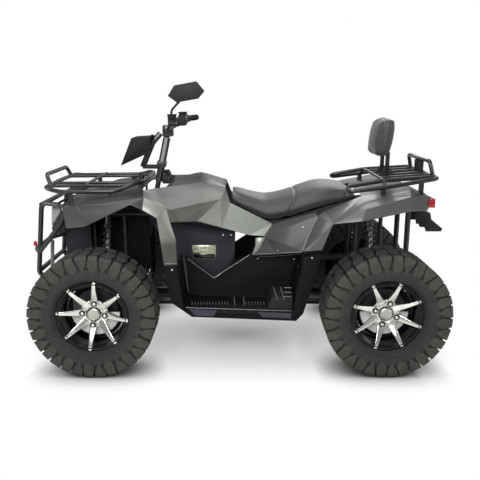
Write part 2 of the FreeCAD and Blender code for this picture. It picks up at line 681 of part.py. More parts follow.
def rim(centre, side, rim_width, phase):
    """Eight-spoke rim: barrel with two flanges, spokes that slope out, and a recessed disc."""
    half = rim_width / 2
    inside = BEAD_RADIUS - RIM_WALL
    seat = BEAD_RADIUS * math.cos(math.pi / RIM_SIDES)
    lip = half - RIM_FLANGE_WALL
    barrel = [
        (half, RIM_FLANGE_RADIUS), (half, inside), (-half, inside), (-half, RIM_FLANGE_RADIUS),
        (-lip, seat), (lip, seat),
    ]
    face = half - HUB_RECESS
    bore = HUB_RADIUS + SEAT_GAP
    disc = [
        (face + CAP_HEIGHT, 0), (face + CAP_HEIGHT, CAP_RADIUS - CAP_HEIGHT / 2), (face, CAP_RADIUS),
        (face, WHEEL_DISC_RADIUS), (face - SPOKE_DEPTH, WHEEL_DISC_RADIUS), (face - SPOKE_DEPTH, bore),
        (face - RIM_WALL, bore), (face - RIM_WALL, 0),
    ]
    solids = [turned(barrel, centre, side, RIM_SIDES), turned(disc, centre, side, HUB_SIDES)]
    for index in range(SPOKE_COUNT):
        angle = phase + 2 * math.pi * index / SPOKE_COUNT
        solids.append(spoke(centre, side, half, angle))
        if index % 2 == 0:
            solids.append(lug_boss(centre, side, face, angle))
    return fuse(solids)


def spoke(centre, side, half, angle):
    """One spoke: wide and deep at the disc, narrow where it meets the flange."""
    face = half - HUB_RECESS
    stations = (
        (WHEEL_DISC_RADIUS - SPOKE_HUB_WIDTH / 2, face, SPOKE_HUB_WIDTH),
        (BEAD_RADIUS - RIM_WALL / 2, half - SEAT_GAP, SPOKE_RIM_WIDTH),
    )
    rings = []
    for radius, top, width in stations:
        across = math.atan2(width / 2, radius)
        reach = math.hypot(radius, width / 2)
        corners = ((top, across), (top, -across), (top - SPOKE_DEPTH, -across), (top - SPOKE_DEPTH, across))
        rings.append([wheel_point(centre, side, y, reach, angle + turn) for y, turn in corners])
    return loft_rings(rings)


def lug_boss(centre, side, face, angle):
    """Raised seat of one wheel nut."""
    foot = wheel_point(centre, side, face, LUG_CIRCLE_RADIUS, angle)
    outward = UNIT_Y * side
    return tube([foot - outward * BOSS_HEIGHT, foot + outward * (BOSS_HEIGHT * 2)], BOSS_RADIUS)


def wheel_centre(front, side):
    width = FRONT_TYRE_WIDTH if front else REAR_TYRE_WIDTH
    x = HALF_BASE if front else -HALF_BASE
    return Vector(x, side * (OVERALL_WIDTH - width) / 2, TYRE_FLAT_RADIUS)


def hub_plane(front):
    """Distance of the hub's mounting plane from the bike's middle plane."""
    rim_width = FRONT_RIM_WIDTH if front else REAR_RIM_WIDTH
    return wheel_centre(front, 1).y + rim_width / 2 - HUB_RECESS - SPOKE_DEPTH


def hub(centre, side, front):
    """Hub with its flange and brake disc; a driven hub carries its half shaft."""
    mount = hub_plane(front) - abs(centre.y)
    inner = mount - HUB_LENGTH
    nose = mount + SPOKE_DEPTH - RIM_WALL - SEAT_GAP
    disc = inner + BRAKE_DISC_WALL
    flange = mount - HUB_FLANGE_WALL
    profile = [
        (nose, 0), (nose, HUB_RADIUS), (mount, HUB_RADIUS), (mount, HUB_FLANGE_RADIUS),
        (flange, HUB_FLANGE_RADIUS), (flange, HUB_RADIUS), (disc, HUB_RADIUS),
        (disc, BRAKE_DISC_RADIUS), (inner, BRAKE_DISC_RADIUS), (inner, 0),
    ]
    body = turned(profile, centre, side, HUB_SIDES)
    axis = UNIT_Y * side
    if front:
        bore_start = centre + axis * (inner - SIDE_PLAY)
        return body.cut(rod(bore_start, centre + axis * mount, SPINDLE_RADIUS + RUNNING_FIT))
    shaft_start = GEARBOX_HALF_WIDTH + SEAT_GAP - abs(centre.y)
    return fuse([body, rod(centre + axis * shaft_start, centre + axis * mount, HALF_SHAFT_RADIUS)])


def build_wheels(nodes):
    for front, end in ((True, "front"), (False, "rear")):
        width = FRONT_TYRE_WIDTH if front else REAR_TYRE_WIDTH
        rim_width = FRONT_RIM_WIDTH if front else REAR_RIM_WIDTH
        for side, name in SIDES:
            centre = wheel_centre(front, side)
            nodes[f"tyre_{end}_{name}"] = tyre(centre, side, width, rim_width)
            nodes[f"rim_{end}_{name}"] = rim(centre, side, rim_width, math.radians(RIM_PHASES[end]))
            nodes[f"hub_{end}_{name}"] = hub(centre, side, front)


# Steering

def column_point(z):
    """Point of the steering axis at a height."""
    return Vector(COLUMN_X + (COLUMN_Z - z) * math.tan(math.radians(COLUMN_RAKE)), 0, z)


def column_axis():
    rake = math.radians(COLUMN_RAKE)
    return Vector(-math.sin(rake), 0, math.cos(rake))


def column_block(z, height, half_width, depth):
    """Block square to the steering axis, centred on it."""
    block = box(Vector(-depth, -half_width, -height / 2), Vector(depth, half_width, height / 2))
    block.rotate(Vector(), UNIT_Y, -COLUMN_RAKE)
    block.translate(column_point(z))
    return block


def pitman_tip(side):
    rearward = UNIT_Y.cross(column_axis()) * -PITMAN_LENGTH
    return column_point(COLUMN_FOOT_Z) + rearward + UNIT_Y * (side * TIE_ROD_Y)


def build_steering(nodes):
    axis = column_axis()
    foot = column_point(COLUMN_FOOT_Z)
    shaft = rod(foot - axis * (PITMAN_WALL / 2), column_point(COLUMN_TOP_Z), COLUMN_RADIUS)
    arm_ring = []
    half_wall = axis * (PITMAN_WALL / 2)
    rearward = UNIT_Y.cross(axis) * -1
    for along, across in ((-COLUMN_RADIUS, CLAMP_HALF_WIDTH), (PITMAN_LENGTH + EYE_RADIUS, PITMAN_WIDTH / 2)):
        arm_ring.append((rearward * along, across))
    (near, near_y), (far, far_y) = arm_ring
    outline = [near + UNIT_Y * near_y, near - UNIT_Y * near_y, far - UNIT_Y * far_y, far + UNIT_Y * far_y]
    pitman = loft_rings([[foot + p - half_wall for p in outline], [foot + p + half_wall for p in outline]])
    pin_reach = axis * (EYE_HEIGHT + PITMAN_WALL)
    pins = [rod(pitman_tip(side), pitman_tip(side) + pin_reach, TIE_PIN_RADIUS) for side, name in SIDES]
    clamp = column_block(COLUMN_TOP_Z, CLAMP_HALF_WIDTH * 2, CLAMP_HALF_WIDTH * 2, CLAMP_HALF_WIDTH)
    stay = tube([at(p) for p in POD_STAY_SHARES], POD_STAY_RADIUS)
    stay_link = tube([column_point(at(POD_STAY_SHARES[0]).z), at(POD_STAY_SHARES[0])], CROSS_TUBE)
    sleeves = [tube([column_point(low), column_point(high)], size) for low, high, size in COLUMN_SLEEVES]
    yoke = column_block(YOKE_Z, YOKE_HEIGHT, CLAMP_HALF_WIDTH, COLUMN_BUSH_RADIUS)
    nodes["steering_column"] = fuse([shaft, pitman, stay, stay_link, yoke] + sleeves + pins)
    half_bar = tube([at(p) for p in HANDLEBAR_SHARES], BAR_TUBE, sides=SMOOTH_SIDES)
    bar = fuse([half_bar, other_side(half_bar), clamp])
    nodes["handlebar"] = trimmed(bar, group([shaft, stay]))
    ends = [at(p) for p in HANDLEBAR_SHARES[-2:]]
    heading = (ends[1] - ends[0]).normalize()
    tip = ends[1] + heading * SEAT_GAP
    grip = tube([tip - heading * GRIP_LENGTH, tip], GRIP_RADIUS, sides=SMOOTH_SIDES)
    lever = tube([at(p) for p in LEVER_SHARES], LEVER_RADIUS, TIGHT_BEND)
    housing_ends = [tip - heading * (GRIP_LENGTH * HOUSING_SHARE), tip - heading * (GRIP_LENGTH + SEAT_GAP)]
    housing = tube(housing_ends, GRIP_RADIUS + LEVER_RADIUS)
    lever_set = fuse([housing, lever])
    nodes["grips"] = both_sides(grip.cut(half_bar))
    nodes["switch_housings"] = both_sides(lever_set.cut(half_bar))
    nodes["instrument_pod"] = trimmed(tapered_pod(), group([stay, nodes["handlebar"]]))
    nodes["mirror"] = trimmed(mirror(), nodes["handlebar"])


def tapered_pod():
    """Wedge-shaped instrument pod, narrower at its nose."""
    outline = [Vector(x * HALF_BASE, 0, z * DECK_HEIGHT) for x, z in POD_SHARES]
    rings = []
    for hand in (-1, 1):
        ring = []
        for point, share in zip(outline, POD_TAPER_SHARES):
            ring.append(point + UNIT_Y * (hand * share * POD_HALF_WIDTH))
        rings.append(ring)
    return loft_rings(rings)


def mirror():
    stem = tube([at(p) for p in MIRROR_STEM_SHARES], LEVER_RADIUS, TIGHT_BEND)
    head_y = MIRROR_STEM_SHARES[-1][1] * HALF_BODY
    outline = [Vector(x * HALF_BASE, head_y, z * DECK_HEIGHT) for x, z in MIRROR_SHARES]
    middle = sum(outline, Vector()) * (1 / len(outline))
    rings = []
    for depth_share, size_share in MIRROR_DEPTH_SHARES:
        shift = UNIT_Y * (depth_share * POD_HALF_WIDTH)
        rings.append([middle + (p - middle) * size_share + shift for p in outline])
    return fuse([stem, loft_rings(rings)])


def build_knuckles(nodes):
    for side, name in SIDES:
        nodes[f"knuckle_{name}"] = knuckle(side)
        nodes[f"tie_rod_{name}"] = tie_rod(side)


def knuckle(side):
    """Upright with its spindle, steering arm and brake caliper."""
    pivot = Vector(HALF_BASE, side * KINGPIN_Y, TYRE_FLAT_RADIUS)
    outward = UNIT_Y * side
    half = KNUCKLE_WIDTH / 2
    reach = Vector(half, half, KINGPIN_HALF_HEIGHT)
    upright = box(pivot - reach, pivot + reach)
    mount = hub_plane(True) - KINGPIN_Y
    inner = mount - HUB_LENGTH
    boss = tube([pivot, pivot + outward * (inner - SIDE_PLAY)], KNUCKLE_SPINDLE_BOSS, sides=SMOOTH_SIDES)
    spindle = rod(pivot, pivot + outward * (mount - SIDE_PLAY), SPINDLE_RADIUS)
    arm_level = tie_joint(side).z - TYRE_FLAT_RADIUS
    arm_low = Vector(-STEER_ARM_LENGTH - half, -STEER_ARM_WIDTH / 2, arm_level - STEER_ARM_WALL / 2)
    arm = box(pivot + arm_low, pivot + Vector(0, STEER_ARM_WIDTH / 2, arm_level + STEER_ARM_WALL / 2))
    disc_plane = inner + BRAKE_DISC_WALL / 2
    caliper_inner = disc_plane - CALIPER_WALL - BRAKE_DISC_WALL
    caliper_outer = disc_plane + CALIPER_WALL + BRAKE_DISC_WALL
    caliper_low = Vector(CALIPER_NEAR, side * caliper_inner, 0)
    caliper_high = Vector(CALIPER_FAR, side * caliper_outer, CALIPER_HEIGHT)
    caliper = spanned_box(pivot + caliper_low, pivot + caliper_high)
    slot_half = BRAKE_DISC_WALL / 2 + DISC_CLEARANCE
    slot_radius = BRAKE_DISC_RADIUS / math.cos(math.pi / HUB_SIDES) + DISC_CLEARANCE
    slot_start = pivot + outward * (disc_plane - slot_half)
    slot = rod(slot_start, slot_start + outward * (2 * slot_half), slot_radius)
    bracket = spanned_box(pivot + Vector(0, side * (caliper_inner - half / 2), 0),
                          pivot + Vector(CALIPER_FAR - half, side * (disc_plane - slot_half), KNUCKLE_WIDTH))
    body = fuse([upright, boss, spindle, arm, bracket, caliper.cut(slot)])
    pin_half = UNIT_Z * (KINGPIN_HALF_HEIGHT + SIDE_PLAY)
    pin = rod(pivot - pin_half, pivot + pin_half, KINGPIN_RADIUS + RUNNING_FIT)
    return body.cut(pin)


def spanned_box(first, second):
    low = Vector(min(first.x, second.x), min(first.y, second.y), min(first.z, second.z))
    high = Vector(max(first.x, second.x), max(first.y, second.y), max(first.z, second.z))
    return box(low, high)


def tie_joint(side):
    """Middle of the track rod's eye on the pitman arm."""
    return pitman_tip(side) + column_axis() * (PITMAN_WALL / 2 + SEAT_GAP + EYE_HEIGHT / 2)


def tie_rod(side):
    """Track rod with an eye on the pitman arm; its outer end stops short of the knuckle."""
    axis = column_axis()
    joint = tie_joint(side)
    start = joint - axis * (EYE_HEIGHT / 2)
    eye = tube([start, start + axis * EYE_HEIGHT], EYE_RADIUS, sides=SMOOTH_SIDES)
    knuckle_end = Vector(HALF_BASE - STEER_ARM_LENGTH, side * KINGPIN_Y, joint.z)
    heading = (knuckle_end - joint).normalize()
    stop = STEER_ARM_WIDTH / 2 + OPEN_PIVOT_GAP + KNUCKLE_WIDTH / 2
    bar = tube([joint, knuckle_end - heading * stop], TIE_ROD_RADIUS)
    hole_end = start + axis * (EYE_HEIGHT + SIDE_PLAY)
    hole = rod(start - axis * SIDE_PLAY, hole_end, TIE_PIN_RADIUS + RUNNING_FIT)
    return fuse([eye, bar]).cut(hole)


# Suspension

def build_suspension(nodes, frame_tubes):
    for end in ("front", "rear"):
        halves = [arm_set(end, side) for side, name in SIDES]
        nodes[f"{end}_arms"] = group([cleared(half, frame_tubes) for half in halves])
        shocks = []
        for side, name in SIDES:
            top, foot = [at(p) for p in SHOCK_SHARES[end]]
            shocks.append(shock(Vector(top.x, side * top.y, top.z), Vector(foot.x, side * foot.y, foot.z)))
        nodes[f"{end}_shocks"] = group([cleared(s, frame_tubes + [nodes[f"{end}_arms"]]) for s in shocks])


def arm_set(end, side):
    """Upper and lower arms of one wheel, joined by the kingpin or the shaft carrier."""
    lower, upper = ARM_SHARES[end]
    front = end == "front"
    x = HALF_BASE if front else -HALF_BASE
    y = side * (KINGPIN_Y if front else carrier_plane())
    centre = Vector(x, y, TYRE_FLAT_RADIUS)
    offset = KINGPIN_HALF_HEIGHT + SIDE_PLAY + ARM_EYE_HEIGHT / 2
    solids = []
    for feet, way in ((lower, -1), (upper, 1)):
        tip = centre + UNIT_Z * (way * offset)
        for foot in feet:
            start = at(foot)
            solids.append(tube([Vector(start.x, side * start.y, start.z), tip], ARM_TUBE))
        half_eye = UNIT_Z * (ARM_EYE_HEIGHT / 2)
        solids.append(tube([tip - half_eye, tip + half_eye], ARM_EYE_RADIUS))
    if front:
        body = fuse(solids)
        reach = Vector(FORK_REACH, FORK_REACH, KINGPIN_HALF_HEIGHT + SIDE_PLAY)
        keep_out = box(centre - reach, centre + reach)
        pin = rod(centre - UNIT_Z * offset, centre + UNIT_Z * offset, KINGPIN_RADIUS)
        return fuse([body.cut(keep_out), pin])
    outward = UNIT_Y * side
    half = outward * (CARRIER_LENGTH / 2)
    solids.append(tube([centre - half, centre + half], CARRIER_RADIUS, sides=SMOOTH_SIDES))
    reach = Vector(ARM_EYE_RADIUS, CARRIER_LENGTH / 2, offset)
    solids.append(box(centre - reach, centre + reach))
    return fuse(solids).cut(rod(centre - half * 2, centre + half * 2, HALF_SHAFT_RADIUS + RUNNING_FIT))


def carrier_plane():
    return hub_plane(False) - HUB_LENGTH - CARRIER_GAP - CARRIER_LENGTH / 2


def shock(top, foot):
    """Coil-over damper: a rod, a body and a spring shown as a corrugated sleeve."""
    heading = (foot - top).normalize()
    length = (foot - top).Length
    side = heading.cross(Vector(1, 0, 0)).normalize()
    up = heading.cross(side)
    first, last = SHOCK_SPRING_SHARES
    stations = [(0.0, SHOCK_EYE_RADIUS), (first, SHOCK_EYE_RADIUS), (first, SHOCK_RADIUS)]
    for coil in range(SHOCK_COILS):
        share = first + (last - first) * (coil + 1) / SHOCK_COILS
        stations.append((share, SHOCK_RADIUS if coil % 2 else SHOCK_RADIUS - LEVER_RADIUS))
    stations += [(last, SHOCK_ROD_RADIUS), (1.0, SHOCK_ROD_RADIUS)]
    rings = []
    for share, radius in stations:
        middle = top + heading * (share * length)
        ring = []
        for index in range(ROUND_SIDES):
            angle = 2 * math.pi * index / ROUND_SIDES
            ring.append(middle + side * (radius * math.cos(angle)) + up * (radius * math.sin(angle)))
        rings.append(ring)
    return loft_rings(rings)


# Frame and engine

def rail_tubes(shares):
    rail = tube([at(p) for p in shares], FRAME_TUBE, BEND_RADIUS * 2)
    return [rail, other_side(rail)]


def cross_tubes(rails):
    """Tubes across the bike, from rail to rail."""
    rail_y = UPPER_RAIL_SHARES[0][1] * HALF_BODY
    tubes = []
    for x, z in CROSS_PLACE_SHARES:
        place = Vector(x * HALF_BASE, rail_y, z * DECK_HEIGHT)
        tubes.append(trimmed(tube([place, flipped(place)], CROSS_TUBE), group(rails)))
    return tubes


def column_housing():
    """Bearing block between the upper rails that the steering column turns in."""
    z = UPPER_RAIL_SHARES[0][2] * DECK_HEIGHT
    rail_y = UPPER_RAIL_SHARES[0][1] * HALF_BODY
    block = column_block(z, COLUMN_HOUSING_HEIGHT, rail_y, COLUMN_BUSH_RADIUS)
    axis = column_axis()
    centre = column_point(z)
    reach = axis * COLUMN_HOUSING_HEIGHT
    return block.cut(rod(centre - reach, centre + reach, COLUMN_RADIUS + RUNNING_FIT))


def seat_rests(rails):
    """Short posts with a cross bar under the seat."""
    rail_y = UPPER_RAIL_SHARES[0][1] * HALF_BODY
    solids = []
    for x, z in SEAT_REST_SHARES:
        top = Vector(x * HALF_BASE, rail_y, z * DECK_HEIGHT - CROSS_TUBE - SEAT_GAP)
        foot = Vector(top.x, rail_y, top.z - BEND_RADIUS * 2)
        bar = tube([top, flipped(top)], CROSS_TUBE)
        leg = trimmed(tube([foot, top], CROSS_TUBE), group([bar] + rails))
        solids += [bar, leg, other_side(leg)]
    return solids


def panel_stays(nodes, rails):
    """Stays from the rails that end under the panels they carry."""
    solids = []
    for panel, routes in STAY_SHARES.items():
        for route in routes:
            stay = tube([at(p) for p in route], RACK_BAR, sides=STRAP_SIDES)
            stay = trimmed(stay, group([nodes[panel]] + rails))
            solids += [stay, other_side(stay)]
    return solids


def hitch_plate():
    """Tow plate with its ball hole, on the rear cross tube."""
    x, z = [value * size for value, size in zip(HITCH_SHARES, (HALF_BASE, DECK_HEIGHT))]
    low = Vector(x - HITCH_LENGTH, -HITCH_HALF_WIDTH, z - HITCH_WALL / 2)
    plate = box(low, low + Vector(HITCH_LENGTH, 2 * HITCH_HALF_WIDTH, HITCH_WALL))
    centre = Vector(low.x + HITCH_HALF_WIDTH, 0, z)
    return plate.cut(rod(centre - UNIT_Z * HITCH_WALL, centre + UNIT_Z * HITCH_WALL, HITCH_HOLE_RADIUS))


def build_frame(nodes):
    """Rails, posts, cross tubes and stays, each a piece that ends where it meets the next."""
    upper = rail_tubes(UPPER_RAIL_SHARES)
    lower = [trimmed(rail, group(upper)) for rail in rail_tubes(LOWER_RAIL_SHARES)]
    rails = upper + lower
    posts = [trimmed(tube([at(p) for p in post], CROSS_TUBE), group(rails)) for post in POST_SHARES]
    posts += [other_side(post) for post in posts]
    crosses = cross_tubes(rails)
    hitch = hitch_plate()
    tow_bar = min(crosses, key=lambda cross: cross.distToShape(hitch)[0])
    crosses = [cross for cross in crosses if cross is not tow_bar] + [fuse([tow_bar, hitch])]
    nodes["frame_upper_rails"] = group(upper)
    nodes["frame_lower_rails"] = group(lower)
    nodes["frame_posts"] = group(posts)
    nodes["frame_crosses"] = group(crosses)
    housing = cleared(column_housing(), rails)
    nodes["frame_stays"] = group([housing] + seat_rests(rails) + panel_stays(nodes, rails + posts))
    return rails + posts


def frame_group(nodes):
    return group([nodes[name] for name in nodes if name.startswith("frame_")])


def build_front_end(nodes):
    """Dark liners beside the steering column, with the radiator between them."""
    carriers = group([frame_group(nodes), nodes["front_fascia"]])
    liner = side_plate(LINER_SHARES, LINER_Y, LINER_Y + PANEL_WALL)
    nodes["front_liners"] = both_sides(trimmed(liner, carriers))
    (x_share, low_share), (x_share, high_share) = RADIATOR_SHARES
    low = Vector(x_share * HALF_BASE, -LINER_Y, low_share * DECK_HEIGHT)
    high = Vector(low.x + RADIATOR_DEPTH, LINER_Y, high_share * DECK_HEIGHT)
    pitch = (high.z - low.z) / RADIATOR_FINS
    grooves = []
    for fin in range(RADIATOR_FINS):
        level = low.z + (fin + HALF) * pitch
        groove_low = Vector(high.x - FIN_DEPTH, low.y + FIN_DEPTH, level)
        grooves.append(box(groove_low, Vector(high.x, high.y - FIN_DEPTH, level + pitch * HALF)))
    nodes["radiator"] = trimmed(box(low, high).cut(group(grooves)), carriers)


def build_seat_tray(nodes):
    """Shallow tub under the seat, open at the top, that rests on the seat's posts."""
    floor = side_strip(TRAY_FLOOR_SHARES, PANEL_WALL, -TRAY_HALF_WIDTH, TRAY_HALF_WIDTH)
    outline = TRAY_FLOOR_SHARES + TRAY_RIM_SHARES
    wall = side_plate(outline, TRAY_HALF_WIDTH - PANEL_WALL, TRAY_HALF_WIDTH)
    tub = fuse([floor, wall, other_side(wall)])
    nodes["seat_tray"] = trimmed(tub, frame_group(nodes))


def build_engine(nodes):
    low = Vector(ENGINE_PLACE_SHARE * HALF_BASE, -ENGINE_HALF_WIDTH, LOWER_RAIL_SHARES[2][2] * DECK_HEIGHT)
    engine = box(low, low + Vector(ENGINE_LENGTH, 2 * ENGINE_HALF_WIDTH, ENGINE_HEIGHT))
    centre = Vector(-HALF_BASE, 0, TYRE_FLAT_RADIUS)
    reach = Vector(GEARBOX_LENGTH / 2, GEARBOX_HALF_WIDTH, GEARBOX_HEIGHT / 2)
    gearbox = box(centre - reach, centre + reach)
    frame = frame_group(nodes)
    nodes["rear_gearbox"] = trimmed(gearbox, frame)
    can = tube([at(p) for p in SILENCER_SHARES], SILENCER_RADIUS, sides=SMOOTH_SIDES)
    pipe = tube([at(p) for p in EXHAUST_SHARES], EXHAUST_RADIUS, BEND_RADIUS * 2)
    hanger = tube([at(p) for p in SILENCER_HANGER_SHARES], RACK_BAR)
    nodes["silencer"] = trimmed(fuse([can, pipe, hanger]), group([frame, engine]))
    nodes["engine"] = trimmed(engine, frame)
    path = [Vector(at(p).x, -SKID_HALF_WIDTH, at(p).z) for p in LOWER_RAIL_SHARES[1:-1]]
    under = offset_path(path, FRAME_TUBE + SEAT_GAP)
    outline = under + list(reversed(offset_path(path, FRAME_TUBE + SEAT_GAP + SKID_WALL)))
    plate = Part.Face(Part.makePolygon(outline + outline[:1])).extrude(UNIT_Y * (2 * SKID_HALF_WIDTH))
    nodes["skid_plate"] = trimmed(plate, group([frame, nodes["front_arms"], nodes["rear_arms"]]))


# Body panels

def build_panels(nodes):
    skin = Vector(0, -PANEL_WALL, -PANEL_WALL)
    half_fender = folded_sheet(FENDER_SHARES, FENDER_FACETS, skin)
    hood = centre_sheet([FENDER_SHARES[name] for name in ("nose", "hood", "neck")], skin)
    nodes["front_fender"] = fuse([half_fender, hood, other_side(half_fender)])
    nodes["side_cowls"] = both_sides(folded_sheet(COWL_SHARES, COWL_FACETS, skin))
    nodes["flares"] = both_sides(folded_sheet(FLARE_SHARES, FLARE_FACETS, skin))
    nodes["side_panels"] = both_sides(folded_sheet(SIDE_PANEL_SHARES, SIDE_PANEL_FACETS, skin))
    half_rear = folded_sheet(REAR_FENDER_SHARES, REAR_FENDER_FACETS, skin)
    deck = centre_sheet([REAR_FENDER_SHARES[name] for name in ("deck_front", "deck_rear", "tail_high")], skin)
    nodes["rear_fender"] = fuse([half_rear, deck, other_side(half_rear)])
    half_tank = folded_sheet(TANK_SHARES, TANK_FACETS, Vector(0, 0, -PANEL_WALL))
    nodes["tank_cover"] = trimmed(fuse([half_tank, other_side(half_tank)]), nodes["side_cowls"])
    nodes["front_fascia"] = fascia()
    tail = [REAR_FENDER_SHARES[name] for name in ("tail_high", "tail_low")]
    nodes["tail_panel"] = trimmed(centre_sheet(tail, Vector(PANEL_WALL, 0, 0)), nodes["rear_fender"])
    shelf = Vector(0, -PANEL_WALL, PANEL_WALL)
    cover = folded_sheet(INNER_COVER_SHARES, INNER_COVER_FACETS, shelf).translated(skin)
    nodes["inner_covers"] = both_sides(trimmed(cover, nodes["side_cowls"]))
    nodes["footwells"] = both_sides(footwell())


def centre_sheet(shares, shift):
    """Sheet from the left edge of a panel straight across to its right edge."""
    rings = []
    for edge in (at(p) for p in shares):
        rings.append([edge, flipped(edge), flipped(edge + shift), edge + shift])
    return loft_rings(rings)


def fascia():
    """Front mask: two faceted cheeks with slats between them."""
    back = Vector(-FASCIA_WALL, 0, 0)
    cheek = folded_sheet(FASCIA_SHARES, FASCIA_FACETS, back)
    top, bottom = (Vector(*FASCIA_SHARES[name]) for name in ("brow", "chin"))
    solids = [cheek, other_side(cheek)]
    for slat in range(FASCIA_SLATS):
        ends = [top + (bottom - top) * ((slat + share) / FASCIA_SLATS) for share in (0.0, SLAT_SHARE)]
        solids.append(centre_sheet(ends, back))
    return fuse(solids)


def footwell():
    """Open trough for one foot: floor, front and rear walls, outer skirt and inner wall."""
    trough = side_strip(SKIRT_INNER_SHARES, PANEL_WALL, WELL_INNER_Y, SKIRT_Y)
    outline = SKIRT_OUTER_SHARES + tuple(reversed(SKIRT_INNER_SHARES))
    skirt = side_plate(outline, SKIRT_Y, SKIRT_Y + PANEL_WALL)
    inner = side_plate(WELL_WALL_SHARES, WELL_INNER_Y - PANEL_WALL, WELL_INNER_Y)
    return fuse([trough, skirt, inner])


# Seat and backrest

def build_seat(nodes):
    rings = []
    for x, low, high, half_width in SEAT_SECTION_SHARES:
        base = low * DECK_HEIGHT
        height = (high - low) * DECK_HEIGHT
        half = []
        for y, z in SEAT_RING_SHARES:
            half.append(Vector(x * HALF_BASE, y * half_width * HALF_BODY, base + z * height))
        crown = Vector(x * HALF_BASE, 0, base + height + SEAT_CROWN)
        rings.append(half + [crown] + [flipped(p) for p in reversed(half)])
    nodes["seat"] = loft_rings(rings)
    foot = at(BACKREST_PAD_SHARES)
    nodes["backrest_pad"] = backrest_pad(foot)
    post = tube([at(p) for p in BACKREST_POST_SHARES], CROSS_TUBE)
    gusset_y = BACKREST_POST_SHARES[0][1] * HALF_BODY
    gusset = side_plate(BACKREST_BASE_SHARES, gusset_y - PANEL_WALL / 2, gusset_y + PANEL_WALL / 2)
    half = trimmed(fuse([post, gusset]), nodes["rear_rack"])
    nodes["backrest_frame"] = both_sides(half)
    nodes["backrest_pad"] = trimmed(nodes["backrest_pad"], nodes["backrest_frame"])


def backrest_pad(foot):
    """Padded backrest with rounded corners, leaning back a little."""
    rings = []
    for depth_share, size_share in BACKREST_DEPTH_SHARES:
        ring = []
        for y_share, z_share in BACKREST_RING_SHARES:
            y = y_share * size_share * BACKREST_HALF_WIDTH
            z = BACKREST_HEIGHT * HALF * (1 + z_share * size_share)
            lean = -z * math.tan(math.radians(BACKREST_LEAN))
            ring.append(foot + Vector(BACKREST_DEPTH * (HALF - depth_share) + lean, y, z))
        rings.append(ring)
    return loft_rings(rings)


# Racks, bumper and lamps

def build_racks(nodes):
    nodes["front_rack"] = rack(
        FRONT_RACK_SHARES, FRONT_HOOP_SHARES, FRONT_RACK_CROSS_SHARES,
        FRONT_RACK_BAR_SHARES, FRONT_RACK_LEG_SHARES, nodes["front_fender"])
    nodes["rear_rack"] = rack(
        REAR_RACK_SHARES, REAR_HOOP_SHARES, REAR_RACK_CROSS_SHARES,
        REAR_RACK_BAR_SHARES, REAR_RACK_LEG_SHARES, nodes["rear_fender"])
    low, high = (at(p) for p in RACK_LAMP_SHARES)
    nodes["rack_lamp"] = trimmed(spanned_box(low, high), nodes["rear_rack"])
    boot = tube([at(p) for p in HARNESS_SHARES], POD_STAY_RADIUS)
    nodes["harness_boot"] = trimmed(boot, nodes["front_fender"])


def standing(piece, carrier):
    """The part of a piece that stands above its carrier."""
    return max(piece.cut(carrier).Solids, key=lambda solid: solid.BoundBox.ZMax)


def rack(outline, hoop, crosses, bars, legs, carrier):
    """Tube rack: outline, upright hoop, cross tubes, bars along and straps down to the fender."""
    halves = [tube([at(p) for p in outline], RACK_TUBE), tube([at(p) for p in hoop], RACK_TUBE, TIGHT_BEND)]
    halves += [tube([at(p) for p in bar], RACK_BAR) for bar in bars]
    for x, y, top, foot in legs:
        reach = Vector(STRAP_WIDTH * HALF, STRAP_WALL * HALF, 0)
        halves.append(standing(spanned_box(at((x, y, foot)) - reach, at((x, y, top)) + reach), carrier))
    solids = halves + [other_side(half) for half in halves]
    for place in crosses:
        solids.append(tube([at(place), flipped(at(place))], RACK_BAR))
    return fuse(solids)


def trimmed(piece, carrier):
    """The largest part of a piece that is left outside its carrier."""
    return max(piece.cut(carrier).Solids, key=lambda solid: solid.Volume)


def build_bumper(nodes):
    half = tube([at(p) for p in BUMPER_SIDE_SHARES], BUMPER_TUBE)
    solids = [half, other_side(half), tube([at(p) for p in BUMPER_NOSE_SHARES], BUMPER_TUBE)]
    solids += [tube([at(p), flipped(at(p))], BUMPER_TUBE) for p in BUMPER_CROSS_SHARES]
    nodes["front_bumper"] = trimmed(fuse(solids), frame_group(nodes))


def build_lamps(nodes):
    shares = [FASCIA_SHARES[name] for name in ("brow", "chin", "temple")]
    corners = [at(p) for p in shares]
    middle = sum(corners, Vector()) * (1 / len(corners))
    normal = (corners[1] - corners[0]).cross(corners[2] - corners[0]).normalize()
    normal = normal if normal.x > 0 else normal * -1
    rings = []
    for rise, share in ((SEAT_GAP, LAMP_INSET_SHARES[0]), (LAMP_HEIGHT, LAMP_INSET_SHARES[1])):
        rings.append([middle + (p - middle) * share + normal * rise for p in corners])
    nodes["headlamps"] = both_sides(loft_rings(rings))
    high, low = (at(REAR_FENDER_SHARES[name]) for name in ("tail_high", "tail_low"))
    lamp_top = high + Vector(LAMP_HEIGHT, 0, -LAMP_HEIGHT)
    lamp_low = Vector(high.x - 2 * LAMP_HEIGHT, high.y - LAMP_WIDTH, low.z + LAMP_HEIGHT)
    lamp = trimmed(spanned_box(lamp_top, lamp_low), nodes["tail_panel"])
    nodes["tail_lamps"] = both_sides(trimmed(lamp, nodes["rear_fender"]))
    path = [Vector(x * HALF_BASE, -PLATE_HALF_WIDTH, z * DECK_HEIGHT) for x, z in PLATE_SHARES]
    outline = path + list(reversed(offset_path(path, PANEL_WALL)))
    plate = Part.Face(Part.makePolygon(outline + outline[:1])).extrude(UNIT_Y * (2 * PLATE_HALF_WIDTH))
    cheek = side_plate(PLATE_CHEEK_SHARES, PLATE_HALF_WIDTH - PANEL_WALL, PLATE_HALF_WIDTH)
    plate = fuse([plate, cheek, other_side(cheek)])
    nodes["plate_bracket"] = trimmed(plate, group([nodes["tail_panel"], frame_group(nodes)]))


